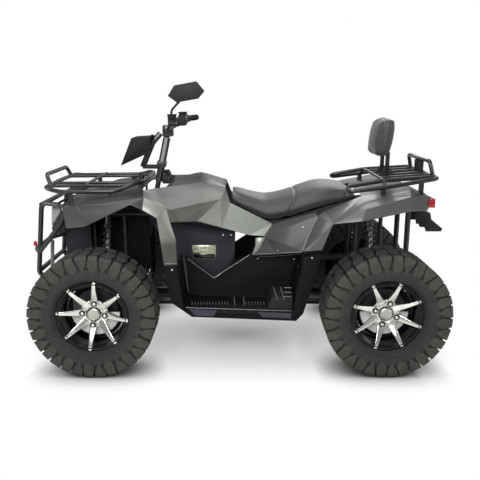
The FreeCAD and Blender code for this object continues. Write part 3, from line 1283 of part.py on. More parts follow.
def main():
    nodes = {}
    build_wheels(nodes)
    build_steering(nodes)
    build_knuckles(nodes)
    build_panels(nodes)
    rails = build_frame(nodes)
    build_suspension(nodes, rails)
    build_engine(nodes)
    build_front_end(nodes)
    build_seat_tray(nodes)
    build_racks(nodes)
    build_seat(nodes)
    build_bumper(nodes)
    build_lamps(nodes)
    os.makedirs("parts", exist_ok=True)
    for name, shape in nodes.items():
        shape.exportStep(f"parts/{name}.step")


main()
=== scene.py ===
import json
import math
from contextlib import contextmanager

import bmesh
import bpy
from bpy.props import FloatProperty, FloatVectorProperty, IntProperty, PointerProperty
from mathutils import Matrix, Vector
from mathutils.bvhtree import BVHTree


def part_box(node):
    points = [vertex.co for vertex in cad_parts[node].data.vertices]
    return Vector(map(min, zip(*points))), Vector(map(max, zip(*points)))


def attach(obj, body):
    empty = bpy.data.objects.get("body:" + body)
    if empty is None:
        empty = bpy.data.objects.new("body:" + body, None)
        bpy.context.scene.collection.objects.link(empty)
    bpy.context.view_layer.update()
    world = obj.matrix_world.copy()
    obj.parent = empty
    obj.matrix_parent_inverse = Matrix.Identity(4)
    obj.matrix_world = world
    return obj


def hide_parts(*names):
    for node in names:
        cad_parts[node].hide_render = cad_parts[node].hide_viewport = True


bl_info = {
    "name": "Quad Bike Dressing",
    "version": (1, 0, 0),
    "blender": (4, 5, 0),
    "location": "View3D > Sidebar > Quad Bike",
    "description": "Dresses the packed quad bike with its panels, wheels, tubes and finishes",
    "category": "Object",
}

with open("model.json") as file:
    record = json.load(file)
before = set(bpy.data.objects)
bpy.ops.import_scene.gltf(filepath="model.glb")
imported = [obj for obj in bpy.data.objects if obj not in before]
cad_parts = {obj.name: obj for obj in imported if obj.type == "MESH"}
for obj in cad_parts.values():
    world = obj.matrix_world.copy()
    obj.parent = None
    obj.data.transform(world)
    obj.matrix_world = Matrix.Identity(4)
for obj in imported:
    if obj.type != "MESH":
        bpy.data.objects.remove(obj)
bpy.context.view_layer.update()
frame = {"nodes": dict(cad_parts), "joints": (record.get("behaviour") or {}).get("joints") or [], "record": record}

# Lengths are in metres. +X is forward, +Y is the rider's left, +Z is up.
HALF_BASE = 0.720
HALF_BODY = 0.540
DECK_HEIGHT = 0.920
TWO_PI = 2 * math.pi
PICTURE = 480.0  # pixels across the photograph
SENSOR = 36.0  # millimetres across the camera's frame
WELD = 0.00002  # corners of a new shape closer than this become one
NODE_WELD = 0.00003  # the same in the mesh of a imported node
FLAT = math.radians(0.6)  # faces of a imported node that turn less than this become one
SIDES = ((1, "left"), (-1, "right"))
ENDS = ("front", "rear")
MIRROR = Matrix.Scale(-1, 4, (0, 1, 0))
AXLES = {joint["child"]: Vector(joint["pos_m"]) for joint in frame["joints"]}
BODIES = {node: body for body, members in frame["record"]["behaviour"]["bodies"].items() for node in members}

# Tube routes, as shares of half the wheelbase, half the body width and the deck height
RAILS = {
    "upper": ((1.19, 0.2, 0.80), (0.45, 0.2, 0.80), (0.05, 0.2, 0.72), (-0.45, 0.2, 0.70), (-1.265, 0.2, 0.865)),
    "lower": ((1.19, 0.2, 0.80), (1.19, 0.2, 0.36), (1.06, 0.2, 0.27), (-1.14, 0.2, 0.27),
              (-1.265, 0.2, 0.42), (-1.265, 0.2, 0.865)),
}
RACKS = {
    "front": {
        "outline": ((0.69, 0.0, 1.008), (0.69, 0.34, 1.008), (0.75, 0.47, 1.006), (0.855, 0.60, 0.970),
                    (1.26, 0.60, 0.967), (1.37, 0.54, 0.984), (1.37, 0.0, 0.988)),
        "hoop": ((1.37, 0.36, 0.988), (1.40, 0.333, 1.043), (1.40, 0.0, 1.043)),
        "bars": (((0.69, 0.26, 1.008), (0.82, 0.26, 0.992), (1.37, 0.26, 0.988)),
                 ((0.75, 0.46, 1.006), (0.82, 0.46, 0.992), (1.37, 0.46, 0.986))),
        "cross": (1.10, 0.46, 0.994),
        "straps": ((0.89, 0.60, 0.970), (1.18, 0.60, 0.967)),
    },
    "rear": {
        "outline": ((-1.385, 0.0, 1.038), (-1.385, 0.53, 1.034), (-1.01, 0.56, 0.988), (-0.765, 0.56, 0.964),
                    (-0.755, 0.48, 0.985), (-1.02, 0.48, 1.021), (-1.385, 0.47, 1.038)),
        "hoop": ((-1.385, 0.38, 1.038), (-1.36, 0.36, 1.12), (-1.36, 0.0, 1.12)),
        "bars": (((-1.02, 0.11, 1.021), (-1.385, 0.11, 1.038)), ((-1.02, 0.29, 1.021), (-1.385, 0.29, 1.038)),
                 ((-1.02, 0.48, 1.021), (-1.01, 0.56, 0.988))),
        "cross": (-1.02, 0.48, 1.021),
        "straps": ((-1.0, 0.56, 0.986), (-1.27, 0.54, 1.018)),
    },
}
BUMPER_SIDE = ((1.235, 0.24, 0.425), (1.49, 0.42, 0.46), (1.43, 0.42, 0.89), (1.245, 0.57, 0.888),
               (1.245, 0.57, 0.805), (1.465, 0.43, 0.61))
BUMPER_NOSE = ((1.469, 0.42, 0.60), (1.539, 0.25, 0.60), (1.539, -0.25, 0.60), (1.469, -0.42, 0.60))
BUMPER_CROSSES = ((1.485, 0.42, 0.49), (1.432, 0.42, 0.878))
HANDLEBAR = ((0.5417, 0.0, 1.285), (0.530, 0.14, 1.285), (0.475, 0.40, 1.335), (0.365, 0.76, 1.343))
SHOCKS = {
    "front": ((0.985, 0.225, 0.80), (0.985, 0.56, 0.30)),
    "rear": ((-0.965, 0.225, 0.807), (-0.965, 0.56, 0.33)),
}


def at(shares, side=1):
    """Point at shares of the overall sizes."""
    return Vector((shares[0] * HALF_BASE, shares[1] * HALF_BODY * side, shares[2] * DECK_HEIGHT))


def route_of(shares, side=1):
    return [at(point, side) for point in shares]


# Settings

def metres(name, description, default):
    return FloatProperty(name=name, description=description, default=default, unit="LENGTH")


def tint(name, description, *default):
    return FloatVectorProperty(name=name, description=description, subtype="COLOR", default=default)


class WheelSettings(bpy.types.PropertyGroup):
    """Sizes of the wheels"""
    tread_radius: metres("Tread radius", "Radius over the tread lugs", 0.311)
    lug_depth: metres("Lug depth", "Height of the lugs over the carcass", 0.012)
    bead_radius: metres("Bead radius", "Radius of the seat of the tyre", 0.152)
    flange_radius: metres("Flange radius", "Outer radius of the rim", 0.176)
    hub_recess: metres("Hub recess", "Depth of the wheel disc in the rim", 0.050)
    pitches: IntProperty(name="Lug pitches", description="Repeats of the tread pattern", default=16)
    spokes: IntProperty(name="Spokes", description="Number of spokes", default=8)


class PaintSettings(bpy.types.PropertyGroup):
    """Colours of the painted and moulded parts"""
    fender: tint("Front fender", "Metallic charcoal", 0.075, 0.08, 0.08)
    cowl: tint("Side cowl", "Metallic silver grey", 0.135, 0.142, 0.130)
    flare: tint("Flare", "Metallic warm grey", 0.086, 0.086, 0.080)
    side_panel: tint("Side panel", "Metallic dark grey", 0.075, 0.08, 0.078)
    rear_fender: tint("Rear fender", "Metallic grey", 0.105, 0.11, 0.105)
    tank: tint("Tank cover", "Dark grey", 0.055, 0.058, 0.06)
    plastic: tint("Plastic", "Blue black plastic", 0.017, 0.018, 0.025)
    vinyl: tint("Vinyl", "Black vinyl", 0.038, 0.038, 0.041)
    lens_red: tint("Red lens", "Tail lamp", 0.42, 0.012, 0.012)


class TubeSettings(bpy.types.PropertyGroup):
    """Radii of the tubes"""
    frame: metres("Frame tube", "Radius of the rails", 0.015)
    rack: metres("Rack tube", "Radius of the rack's outline", 0.011)
    bar: metres("Rack bar", "Radius of the bars inside the rack", 0.008)
    bumper: metres("Bumper tube", "Radius of the bumper", 0.013)
    bend: metres("Bend", "Length of tube that a bend takes on each side", 0.035)


class StageSettings(bpy.types.PropertyGroup):
    """Camera"""
    distance: metres("Camera distance", "From the bike's middle plane", 3.25)
    height: metres("Camera height", "Above the floor", 1.337)
    pitch: FloatProperty(name="Pitch", description="Downward tilt", default=math.radians(13.35), subtype="ANGLE")
    lens: FloatProperty(name="Lens", description="Focal length in millimetres on a 36 mm frame", default=44.25)


# Shader helpers

class Field:
    """A shader value that takes part in ordinary sums."""

    def __init__(self, tree, socket):
        self.tree = tree
        self.socket = socket

    def _math(self, operation, *values):
        node = self.tree.nodes.new("ShaderNodeMath")
        node.operation = operation
        for place, value in zip(node.inputs, values):
            join(self.tree, place, value)
        return Field(self.tree, node.outputs[0])

    def __add__(self, other):
        return self._math("ADD", self, other)

    def __radd__(self, other):
        return self._math("ADD", other, self)

    def __sub__(self, other):
        return self._math("SUBTRACT", self, other)

    def __rsub__(self, other):
        return self._math("SUBTRACT", other, self)

    def __mul__(self, other):
        return self._math("MULTIPLY", self, other)

    def __rmul__(self, other):
        return self._math("MULTIPLY", other, self)

    def __truediv__(self, other):
        return self._math("DIVIDE", self, other)

    def __pow__(self, other):
        return self._math("POWER", self, other)

    def __abs__(self):
        return self._math("ABSOLUTE", self)

    def clamped(self):
        field = self._math("ADD", self, 0.0)
        field.socket.node.use_clamp = True
        return field


def join(tree, place, value):
    """Sets a socket to a number, a colour, or another node's output."""
    if isinstance(value, Field):
        tree.links.new(value.socket, place)
    elif isinstance(value, bpy.types.NodeSocket):
        tree.links.new(value, place)
    elif hasattr(place.default_value, "__len__") and len(place.default_value) == 4 and len(value) == 3:
        place.default_value = (*value, 1.0)
    else:
        place.default_value = value


def blended(tree, share, first, second, output):
    """Sends a mix of two shaders to the tree's output."""
    blend = tree.nodes.new("ShaderNodeMixShader")
    for place, value in zip(blend.inputs, (share, first, second)):
        join(tree, place, value)
    join(tree, tree.nodes[output].inputs["Surface"], blend.outputs[0])


def scaled(colour, share):
    return tuple(min(part * share, 1.0) for part in colour)


class Finish:
    """A material, made one node at a time."""

    def __init__(self, name):
        self.material = bpy.data.materials.new(name)
        self.material.use_nodes = True
        self.tree = self.material.node_tree
        self.shader = self.tree.nodes["Principled BSDF"]
        self.place = self.node("ShaderNodeTexCoord").outputs["Object"]

    def node(self, kind, settings=None, **values):
        made = self.tree.nodes.new(kind)
        for name, value in (settings or {}).items():
            setattr(made, name, value)
        for name, value in values.items():
            join(self.tree, made.inputs[name.replace("_", " ")], value)
        return made

    def noise(self, scale, detail=3.0):
        made = self.node("ShaderNodeTexNoise", Vector=self.place, Scale=scale, Detail=detail)
        return Field(self.tree, made.outputs["Fac"])

    def cells(self, scale, feature="F1"):
        made = self.node("ShaderNodeTexVoronoi", {"feature": feature}, Vector=self.place, Scale=scale)
        return Field(self.tree, made.outputs["Distance"])

    def axis(self, index):
        parts = self.node("ShaderNodeSeparateXYZ", Vector=self.place)
        return Field(self.tree, parts.outputs[index])

    def mix(self, share, first, second):
        made = self.node("ShaderNodeMix", {"data_type": "RGBA"})
        for index, value in ((0, share), (6, first), (7, second)):
            join(self.tree, made.inputs[index], value)
        return made.outputs[2]

    def tones(self, share, colour, low, high):
        """Mix of a darker and a lighter tone of one colour."""
        return self.mix(share, scaled(colour, low), scaled(colour, high))

    def relief(self, height, depth, strength):
        made = self.node("ShaderNodeBump", Height=height, Distance=depth, Strength=strength)
        join(self.tree, self.shader.inputs["Normal"], made.outputs[0])

    def surface(self, **values):
        for name, value in values.items():
            join(self.tree, self.shader.inputs[name.replace("_", " ")], value)
        return self.material


def painted(name, colour, metallic=0.55, roughness=0.36, shift=None):
    """Metallic paint on moulded plastic, with fine flake and a trace of orange peel.
    A shift (axis, from, to, factor) makes its tone lighter or darker towards one end of the panel: painted light and
    shade."""
    finish = Finish(name)
    share = (0.35 * finish.noise(1500.0, 1.0) + 0.5 * finish.noise(7.0)).clamped()
    colours = finish.tones(share, colour, 0.82, 1.22)
    # The shift paints light and shade: a lighter or darker tone towards one end of the panel.
    if shift:
        index, start, stop, factor = shift
        painted_light_share = ((finish.axis(index) - start) / (stop - start)).clamped()
        colours = finish.mix(painted_light_share, colours, finish.tones(share, colour, 0.82 * factor, 1.22 * factor))
    finish.relief(finish.noise(260.0, 2.0) + 0.5 * finish.noise(40.0, 2.0), 0.00025, 0.5)
    return finish.surface(
        Base_Color=colours, Metallic=metallic, Roughness=roughness + 0.10 * finish.noise(30.0, 2.0),
        Coat_Weight=0.35, Coat_Roughness=0.12)


def moulded(name, colour, roughness=0.5, grain=0.0004, gloss=0.35):
    """Grained moulded plastic."""
    finish = Finish(name)
    finish.relief(finish.cells(900.0) + 0.4 * finish.noise(300.0, 2.0), grain, 0.6)
    return finish.surface(
        Base_Color=finish.tones(finish.noise(11.0, 4.0), colour, 0.75, 1.35),
        Roughness=roughness + 0.14 * finish.noise(60.0), Specular_IOR_Level=gloss)


def lacquered(name, colour, roughness=0.22, metallic=0.0, coat=0.5, gloss=0.5):
    """Gloss lacquer on steel tube, duller in random patches."""
    finish = Finish(name)
    finish.relief(finish.noise(320.0, 2.0), 0.0001, 0.5)
    return finish.surface(
        Base_Color=finish.tones(finish.noise(18.0), colour, 0.8, 1.5), Metallic=metallic,
        Roughness=roughness + 0.16 * finish.noise(26.0, 4.0), Coat_Weight=coat, Coat_Roughness=0.08,
        Specular_IOR_Level=gloss)


def bare_metal(name, colour, roughness):
    """Machined or polished metal with fine tool marks."""
    finish = Finish(name)
    marks, cloud = finish.noise(220.0, 2.0), finish.noise(14.0)
    finish.relief(marks, 0.00006, 0.6)
    return finish.surface(
        Base_Color=finish.tones(0.5 * marks + 0.5 * cloud, colour, 0.8, 1.15), Metallic=1.0,
        Roughness=roughness + 0.12 * cloud)


def cast(name, colour, metallic):
    """Sand cast metal."""
    finish = Finish(name)
    finish.relief(finish.noise(420.0, 4.0), 0.0006, 0.7)
    return finish.surface(
        Base_Color=finish.tones(finish.noise(30.0, 5.0), colour, 0.7, 1.3), Metallic=metallic,
        Roughness=0.45 + 0.2 * finish.noise(50.0))


def tread_rubber(name, colour):
    """Tyre rubber, dusty in patches and fine grained."""
    finish = Finish(name)
    dust = (finish.noise(9.0, 5.0) * finish.noise(55.0) * 2.2).clamped()
    finish.relief(finish.noise(500.0) + finish.noise(90.0), 0.0006, 0.55)
    return finish.surface(
        Base_Color=finish.tones(dust, colour, 0.8, 2.3), Roughness=0.62 + 0.2 * dust, IOR=1.45)


def stitched_vinyl(name, colour):
    """Leather-grained vinyl with a soft sheen."""
    finish = Finish(name)
    finish.relief(finish.cells(620.0, "DISTANCE_TO_EDGE") + 0.25 * finish.noise(70.0), 0.0009, 0.55)
    return finish.surface(
        Base_Color=finish.tones(finish.noise(6.0), colour, 0.85, 1.35), Roughness=0.40 + 0.10 * finish.noise(24.0),
        Sheen_Weight=0.25, Sheen_Roughness=0.4, IOR=1.5)


def lens(name, colour, transmission):
    """Lamp lens with fine vertical flutes."""
    finish = Finish(name)
    bands = {"wave_type": "BANDS", "bands_direction": "Y"}
    flutes = Field(finish.tree, finish.node("ShaderNodeTexWave", bands, Vector=finish.place, Scale=60.0).outputs["Fac"])
    finish.relief(flutes, 0.0012, 0.6)
    return finish.surface(
        Base_Color=finish.tones(flutes, colour, 0.75, 1.2), Roughness=0.08 + 0.06 * finish.noise(50.0),
        Transmission_Weight=transmission, Coat_Weight=0.6)


# Finishes: maker, material's name, colour or the paint setting that holds it, and the maker's further values
FINISHES = {
    # The last value of the next three rows is a shift of tone. The fender's darkens its top as painted shade. The
    # cowl's lightens its tail and the flare's lightens its upper facet, as painted highlights.
    "fender": (painted, "fender_paint", "fender", 0.55, 0.36, (2, 0.825, 0.86, 0.62)),
    "cowl": (painted, "cowl_paint", "cowl", 0.6, 0.34, (0, 0.20, 0.06, 2.0)),
    "flare": (painted, "flare_paint", "flare", 0.55, 0.38, (2, 0.66, 0.70, 2.8)),
    "side_panel": (painted, "side_panel_paint", "side_panel"),
    "rear_fender": (painted, "rear_fender_paint", "rear_fender"),
    "tank": (painted, "tank_paint", "tank", 0.4, 0.4),
    # Light grey: the nose posts and switch buttons, and the beads of painted highlight along panel edges.
    "bead": (painted, "edge_bead", (0.30, 0.31, 0.31), 0.5, 0.3),
    "plastic": (moulded, "grained_plastic", "plastic", 0.42),
    # Near-black: black plastic darkened further as painted shade, on the footwells, front liners and brake backing
    # plates.
    "well": (moulded, "footwell_plastic", (0.0035, 0.0042, 0.0048), 0.5, 0.0004, 0.12),
    "sill": (moulded, "sill_plastic", (0.034, 0.034, 0.050), 0.4, 0.0003),
    "skirt": (moulded, "skirt_plastic", (0.011, 0.012, 0.013), 0.5, 0.0004, 0.2),
    "trim": (moulded, "black_trim", (0.014, 0.014, 0.015)),
    "grip": (moulded, "grip_rubber", (0.012, 0.012, 0.012), 0.7),
    "band": (moulded, "plate_band", (0.42, 0.40, 0.24), 0.35, 0.0001),
    "tube": (lacquered, "tube_lacquer", (0.012, 0.012, 0.013)),
    "frame": (lacquered, "frame_coat", (0.012, 0.012, 0.012), 0.38),
    "barrel": (lacquered, "barrel_black", (0.004, 0.0045, 0.0045), 0.14, 0.0, 0.08, 0.2),
    # Pale arc under each brake disc: painted reflection of the floor.
    "shield": (lacquered, "splash_shield", (0.80, 0.80, 0.76), 0.45, 0.1, 0.2),
    "spring": (lacquered, "spring_coat", (0.02, 0.02, 0.022), 0.3),
    "screen": (lacquered, "dark_screen", (0.006, 0.008, 0.010), 0.06),
    "rubber": (tread_rubber, "tread_rubber", (0.029, 0.028, 0.025)),
    "sidewall": (tread_rubber, "sidewall_rubber", (0.015, 0.0165, 0.0155)),
    # Darker rubber for the skin between the lugs: painted shade in the grooves.
    "groove": (tread_rubber, "groove_rubber", (0.005, 0.005, 0.0045)),
    "vinyl": (stitched_vinyl, "seat_vinyl", "vinyl"),
    "silver": (bare_metal, "machined_alloy", (0.80, 0.79, 0.77), 0.16),
    "chrome": (bare_metal, "bright_plate", (0.82, 0.82, 0.83), 0.08),
    # Brake disc steel kept dark: painted shade, for the dark underside that the disc reflects.
    "disc": (bare_metal, "ground_disc", (0.06, 0.062, 0.065), 0.45),
    "zinc": (bare_metal, "zinc_plate", (0.16, 0.165, 0.17), 0.38),
    "alloy": (bare_metal, "cap_alloy", (0.56, 0.57, 0.53), 0.32),
    "cast": (cast, "cast_case", (0.10, 0.10, 0.105), 0.6),
    "exhaust": (cast, "exhaust_coat", (0.05, 0.05, 0.052), 0.7),
    "red": (lens, "red_lens", "lens_red", 0.15),
    "clear": (lens, "clear_lens", (0.72, 0.75, 0.78), 0.5),
}
MATERIALS = {}


def finish_of(name):
    """Materials are made when they are first asked for, and shared."""
    if name not in MATERIALS:
        maker, title, colour, *values = FINISHES[name]
        if isinstance(colour, str):
            colour = getattr(bpy.context.scene.quad_paint, colour)
        MATERIALS[name] = maker(title, colour, *values)
    return MATERIALS[name]


def finished(piece, finish, body, *nodes, slot=None):
    """Gives a piece its material and body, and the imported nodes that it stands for."""
    piece.data.materials.clear()
    piece.data.materials.append(finish_of(finish))
    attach(piece, body)
    if nodes:
        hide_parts(*nodes)
    return piece


# Modelling helpers

def deselect():
    if bpy.context.mode != "OBJECT":
        bpy.ops.object.mode_set(mode="OBJECT")
    bpy.ops.object.select_all(action="DESELECT")


def only(*chosen):
    deselect()
    for piece in chosen:
        piece.select_set(True)
    bpy.context.view_layer.objects.active = chosen[0]
    return chosen[0]


def everything():
    bpy.ops.mesh.select_all(action="SELECT")


@contextmanager
def editing(piece):
    """Edit mode on one piece with all of it selected."""
    only(piece)
    bpy.ops.object.mode_set(mode="EDIT")
    bpy.ops.mesh.select_mode(type="VERT")
    everything()
    yield
    bpy.ops.object.mode_set(mode="OBJECT")


def smooth(piece, angle=35.0):
    only(piece)
    bpy.ops.object.shade_smooth_by_angle(angle=math.radians(angle))
    return piece


def modify(piece, kind, **settings):
    """Adds a modifier, sets it and applies it."""
    only(piece)
    modifier = piece.modifiers.new(kind.title(), kind)
    for name, value in settings.items():
        setattr(modifier, name, value)
    bpy.ops.object.modifier_apply(modifier=modifier.name)
    return piece


def rounded(piece, width, segments=2, angle=25.0):
    modify(piece, "BEVEL", width=width, segments=segments, limit_method="ANGLE", angle_limit=math.radians(angle))
    return smooth(piece, 50.0)


def drawn(name, points):
    """A line of edges through the points, left in edit mode."""
    deselect()
    bpy.ops.mesh.primitive_plane_add(size=1.0)
    piece = bpy.context.object
    piece.name = name
    bpy.ops.object.mode_set(mode="EDIT")
    everything()
    bpy.ops.mesh.merge(type="CENTER")
    bpy.ops.transform.translate(value=points[0])
    for start, end in zip(points, points[1:]):
        bpy.ops.mesh.extrude_region_move(TRANSFORM_OT_translate={"value": Vector(end) - Vector(start)})
    return piece


def pipe(name, points, radius, bend=0.0, around=4):
    """Round tube along a route, with its corners bent over a length on each side."""
    piece = drawn(name, points)
    if len(points) > 2 and bend:
        mesh = bmesh.from_edit_mesh(piece.data)
        for vertex in mesh.verts:
            vertex.select = len(vertex.link_edges) == 2
        mesh.select_flush(True)
        bmesh.update_edit_mesh(piece.data)
        bpy.ops.mesh.bevel(offset=bend, segments=5, affect="VERTICES", clamp_overlap=True)
    bpy.ops.object.mode_set(mode="OBJECT")
    bpy.ops.object.convert(target="CURVE")
    curve = bpy.context.object.data
    curve.bevel_depth = radius
    curve.bevel_resolution = around
    curve.use_fill_caps = True
    bpy.ops.object.convert(target="MESH")
    return smooth(bpy.context.object)


def lathe(name, profile, steps, closed=True):
    """Ring turned round the Y axis from a (place along the axis, radius) profile."""
    points = [Vector((0.0, along, radius)) for along, radius in profile]
    piece = drawn(name, points + points[:1] if closed else points)
    everything()
    bpy.ops.mesh.spin(steps=steps, angle=TWO_PI, center=(0, 0, 0), axis=(0, 1, 0))
    bpy.ops.object.mode_set(mode="OBJECT")
    with editing(piece):
        bpy.ops.mesh.remove_doubles(threshold=WELD)
        bpy.ops.mesh.normals_make_consistent(inside=False)
    return smooth(piece, 40.0)


def ring_part(name, profile, angle, steps):
    """Part of a ring round the Y axis, centred on straight down, with closed ends."""
    turn = Matrix.Rotation(math.pi + angle / 2, 3, "Y")
    points = [turn @ Vector((0.0, along, radius)) for along, radius in profile]
    piece = drawn(name, points + points[:1])
    everything()
    bpy.ops.mesh.remove_doubles(threshold=WELD)
    bpy.ops.mesh.spin(steps=steps, angle=angle, center=(0, 0, 0), axis=(0, 1, 0))
    everything()
    bpy.ops.mesh.remove_doubles(threshold=WELD)
    bpy.ops.mesh.fill_holes(sides=0)
    everything()
    bpy.ops.mesh.normals_make_consistent(inside=False)
    bpy.ops.object.mode_set(mode="OBJECT")
    return smooth(piece, 40.0)


def shifted(profile, along, out=0.0):
    return [(place + along, radius + out) for place, radius in profile]


def flipped(profile):
    """The profile's other half, from its last point back to its first."""
    return [(-place, radius) for place, radius in reversed(profile)]


def lofted(name, rings):
    """Closed form through rings of points, made by extruding its end face from ring to ring."""
    deselect()
    bpy.ops.mesh.primitive_circle_add(vertices=len(rings[0]), fill_type="NGON")
    piece = bpy.context.object
    piece.name = name
    bpy.ops.object.mode_set(mode="EDIT")
    mesh = bmesh.from_edit_mesh(piece.data)
    for vertex, place in zip(mesh.verts, rings[0]):
        vertex.co = place
    everything()
    for before, after in zip(rings, rings[1:]):
        bpy.ops.mesh.extrude_region()
        mesh = bmesh.from_edit_mesh(piece.data)
        for vertex in (v for v in mesh.verts if v.select):
            nearest = min(range(len(before)), key=lambda k: (Vector(before[k]) - vertex.co).length_squared)
            vertex.co = after[nearest]
        bmesh.update_edit_mesh(piece.data)
    everything()
    bpy.ops.mesh.normals_make_consistent(inside=False)
    bpy.ops.object.mode_set(mode="OBJECT")
    return piece


def level(low, high, z):
    """Rectangle at a height, between two corners."""
    return [(low[0], low[1], z), (high[0], low[1], z), (high[0], high[1], z), (low[0], high[1], z)]


def block(name, low, high, edge, segments=2):
    """Box between two corners with rounded edges."""
    low, high = Vector(low), Vector(high)
    return rounded(lofted(name, [level(low, high, z) for z in (low.z, high.z)]), edge, segments)


def circle(radius, count):
    """Points round a circle, as pairs."""
    return [(radius * math.cos(turn), radius * math.sin(turn)) for turn in (TWO_PI * k / count for k in range(count))]


def copied(piece, name, matrix):
    """Copy with its own mesh, moved by a matrix."""
    only(piece)
    bpy.ops.object.duplicate()
    made = bpy.context.object
    made.name = name
    made.matrix_world = matrix @ made.matrix_world
    bpy.ops.object.transform_apply(location=True, rotation=True, scale=True)
    if matrix.to_3x3().determinant() < 0:
        with editing(made):
            bpy.ops.mesh.flip_normals()
    return made


def removed(*pieces):
    only(*pieces)
    bpy.ops.object.delete()


def moved(piece, name, matrix):
    """The piece itself, moved by a matrix."""
    made = copied(piece, name, matrix)
    removed(piece)
    return made


def joined(name, pieces):
    only(*pieces)
    bpy.ops.object.join()
    made = bpy.context.object
    made.name = name
    return made


def both(name, piece):
    """The piece and its mirror image as one."""
    return joined(name, [piece, copied(piece, name + "_right", MIRROR)])


def paired(name, pieces, finish, body):
    """One finished piece from pieces of the left side and their mirror images."""
    return finished(both(name, joined("half", pieces)), finish, body)


def repeated(piece, name, count):
    """The piece and its copies spaced evenly round the Y axis."""
    turns = [Matrix.Rotation(TWO_PI * index / count, 4, "Y") for index in range(1, count)]
    return joined(name, [piece] + [copied(piece, name, turn) for turn in turns])


def turn_between(axis, direction):
    return Vector(axis).rotation_difference(Vector(direction)).to_matrix().to_4x4()


def axes(x, y, z):
    """Rotation that lays the axes along three directions."""
    return Matrix((x, y, z)).transposed().to_4x4()


def aimed(piece, name, place, direction):
    """Copy whose +Z looks along a direction, at a place."""
    return copied(piece, name, Matrix.Translation(place) @ turn_between((0, 0, 1), direction))


def node_copy(name, node):
    """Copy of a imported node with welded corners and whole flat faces."""
    deselect()
    bpy.ops.mesh.primitive_cube_add()
    piece = bpy.context.object
    piece.name = name
    piece.data = frame["nodes"][node].data.copy()
    piece.data.materials.clear()
    with editing(piece):
        bpy.ops.mesh.remove_doubles(threshold=NODE_WELD)
        bpy.ops.mesh.dissolve_limited(angle_limit=FLAT)
    return piece


def softened(name, node, edge=0.0016, segments=2, angle=9.0):
    """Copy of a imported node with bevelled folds."""
    return rounded(node_copy(name, node), edge, segments, angle)


SHARP_TURN = 50.0  # degrees from which an edge of a panel is its rim
SLIGHT_TURN = 4.0  # degrees up to which an edge isn't a fold


def creased(name, node, fold, levels=2):
    """Copy of a packed panel whose folds are drawn round, with its rims kept crisp."""
    piece = node_copy(name, node)
    with editing(piece):
        bpy.ops.mesh.quads_convert_to_tris()
        mesh = bmesh.from_edit_mesh(piece.data)
        layer = mesh.edges.layers.float.get("crease_edge") or mesh.edges.layers.float.new("crease_edge")
        for edge in mesh.edges:
            turn = math.degrees(edge.calc_face_angle(math.pi))
            edge[layer] = 1.0 if turn > SHARP_TURN else fold if turn > SLIGHT_TURN else 0.0
        bmesh.update_edit_mesh(piece.data)
    modify(piece, "SUBSURF", levels=levels, render_levels=levels)
    return smooth(piece, 42.0)


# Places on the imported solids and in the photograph

def surface_finder(node):
    data = frame["nodes"][node].data
    return BVHTree.FromPolygons([v.co for v in data.vertices], [p.vertices for p in data.polygons])


def under(finder, x, y, z):
    """Height of a node's surface below a place."""
    return finder.ray_cast(Vector((x, y, z)), Vector((0, 0, -1)))[0].z


def struck(finder, eye, target):
    """Place where a line of sight meets a node, and the direction that its surface faces."""
    place, normal, index, distance = finder.ray_cast(eye, (target - eye).normalized())
    if place is None:
        raise RuntimeError(f"nothing from {eye} towards {target}")
    return place, normal if normal.dot(eye - place) > 0 else -normal


def stage_eye():
    stage = bpy.context.scene.quad_stage
    return Vector((0.0, stage.distance, stage.height))


def seen(u, v, y):
    """Point on the plane at y that shows at the photograph's pixel (u, v) from the stage's camera."""
    stage = bpy.context.scene.quad_stage
    focal = PICTURE * stage.lens / SENSOR
    right, up = (u - PICTURE / 2) / focal, (PICTURE / 2 - v) / focal
    cosine, sine = math.cos(stage.pitch), math.sin(stage.pitch)
    ray = Vector((-right, -cosine - up * sine, -sine + up * cosine))
    eye = stage_eye()
    return eye + ray * ((y - eye.y) / ray.y)


def on_node(finder, u, v):
    """Place and direction of a node's near surface at a pixel of the photograph."""
    return struck(finder, stage_eye(), seen(u, v, 0.3))


# Wheels

RIM_TURN = {"front": -6.0, "rear": -18.0}
RIM_WIDTH = {"front": 0.152, "rear": 0.190}
BEAD_GAP = 0.0003
RING_STEPS = 96
NUT_COUNT = 4
NUT_CIRCLE = 0.055
NUT_RADIUS = 0.0088
NUT_SPAN = (0.009, 0.019)  # from the face of the wheel disc
MOUNT_DEPTH = 0.015  # from the face of the wheel disc back to the hub's mount
ROTOR_DEPTH = 0.044  # from the mount back to the brake disc
REFLECTION_ARC_DEPTH = 0.016  # from the mount back to the pale arc that paints the floor's reflection
BACKING_DEPTH = 0.006  # from the brake disc back to the backing plate
SHAFT_START = 0.0853  # half the width of the rear gearbox
BOOT_RIBS = 5

# Half outlines of the tyre: shares of its width, and of its height over the bead or of its radius
CARCASS = ((0.462, 0.27), (0.484, 0.42), (0.488, 0.58), (0.482, 0.74), (0.462, 0.88), (0.410, 0.965),
           (0.20, 0.995), (0.0, 1.0))
CROWN = ((0.490, 0.722), (0.4975, 0.800), (0.4985, 0.880), (0.490, 0.955), (0.452, 1.0), (0.22, 1.0), (0.0, 1.0))

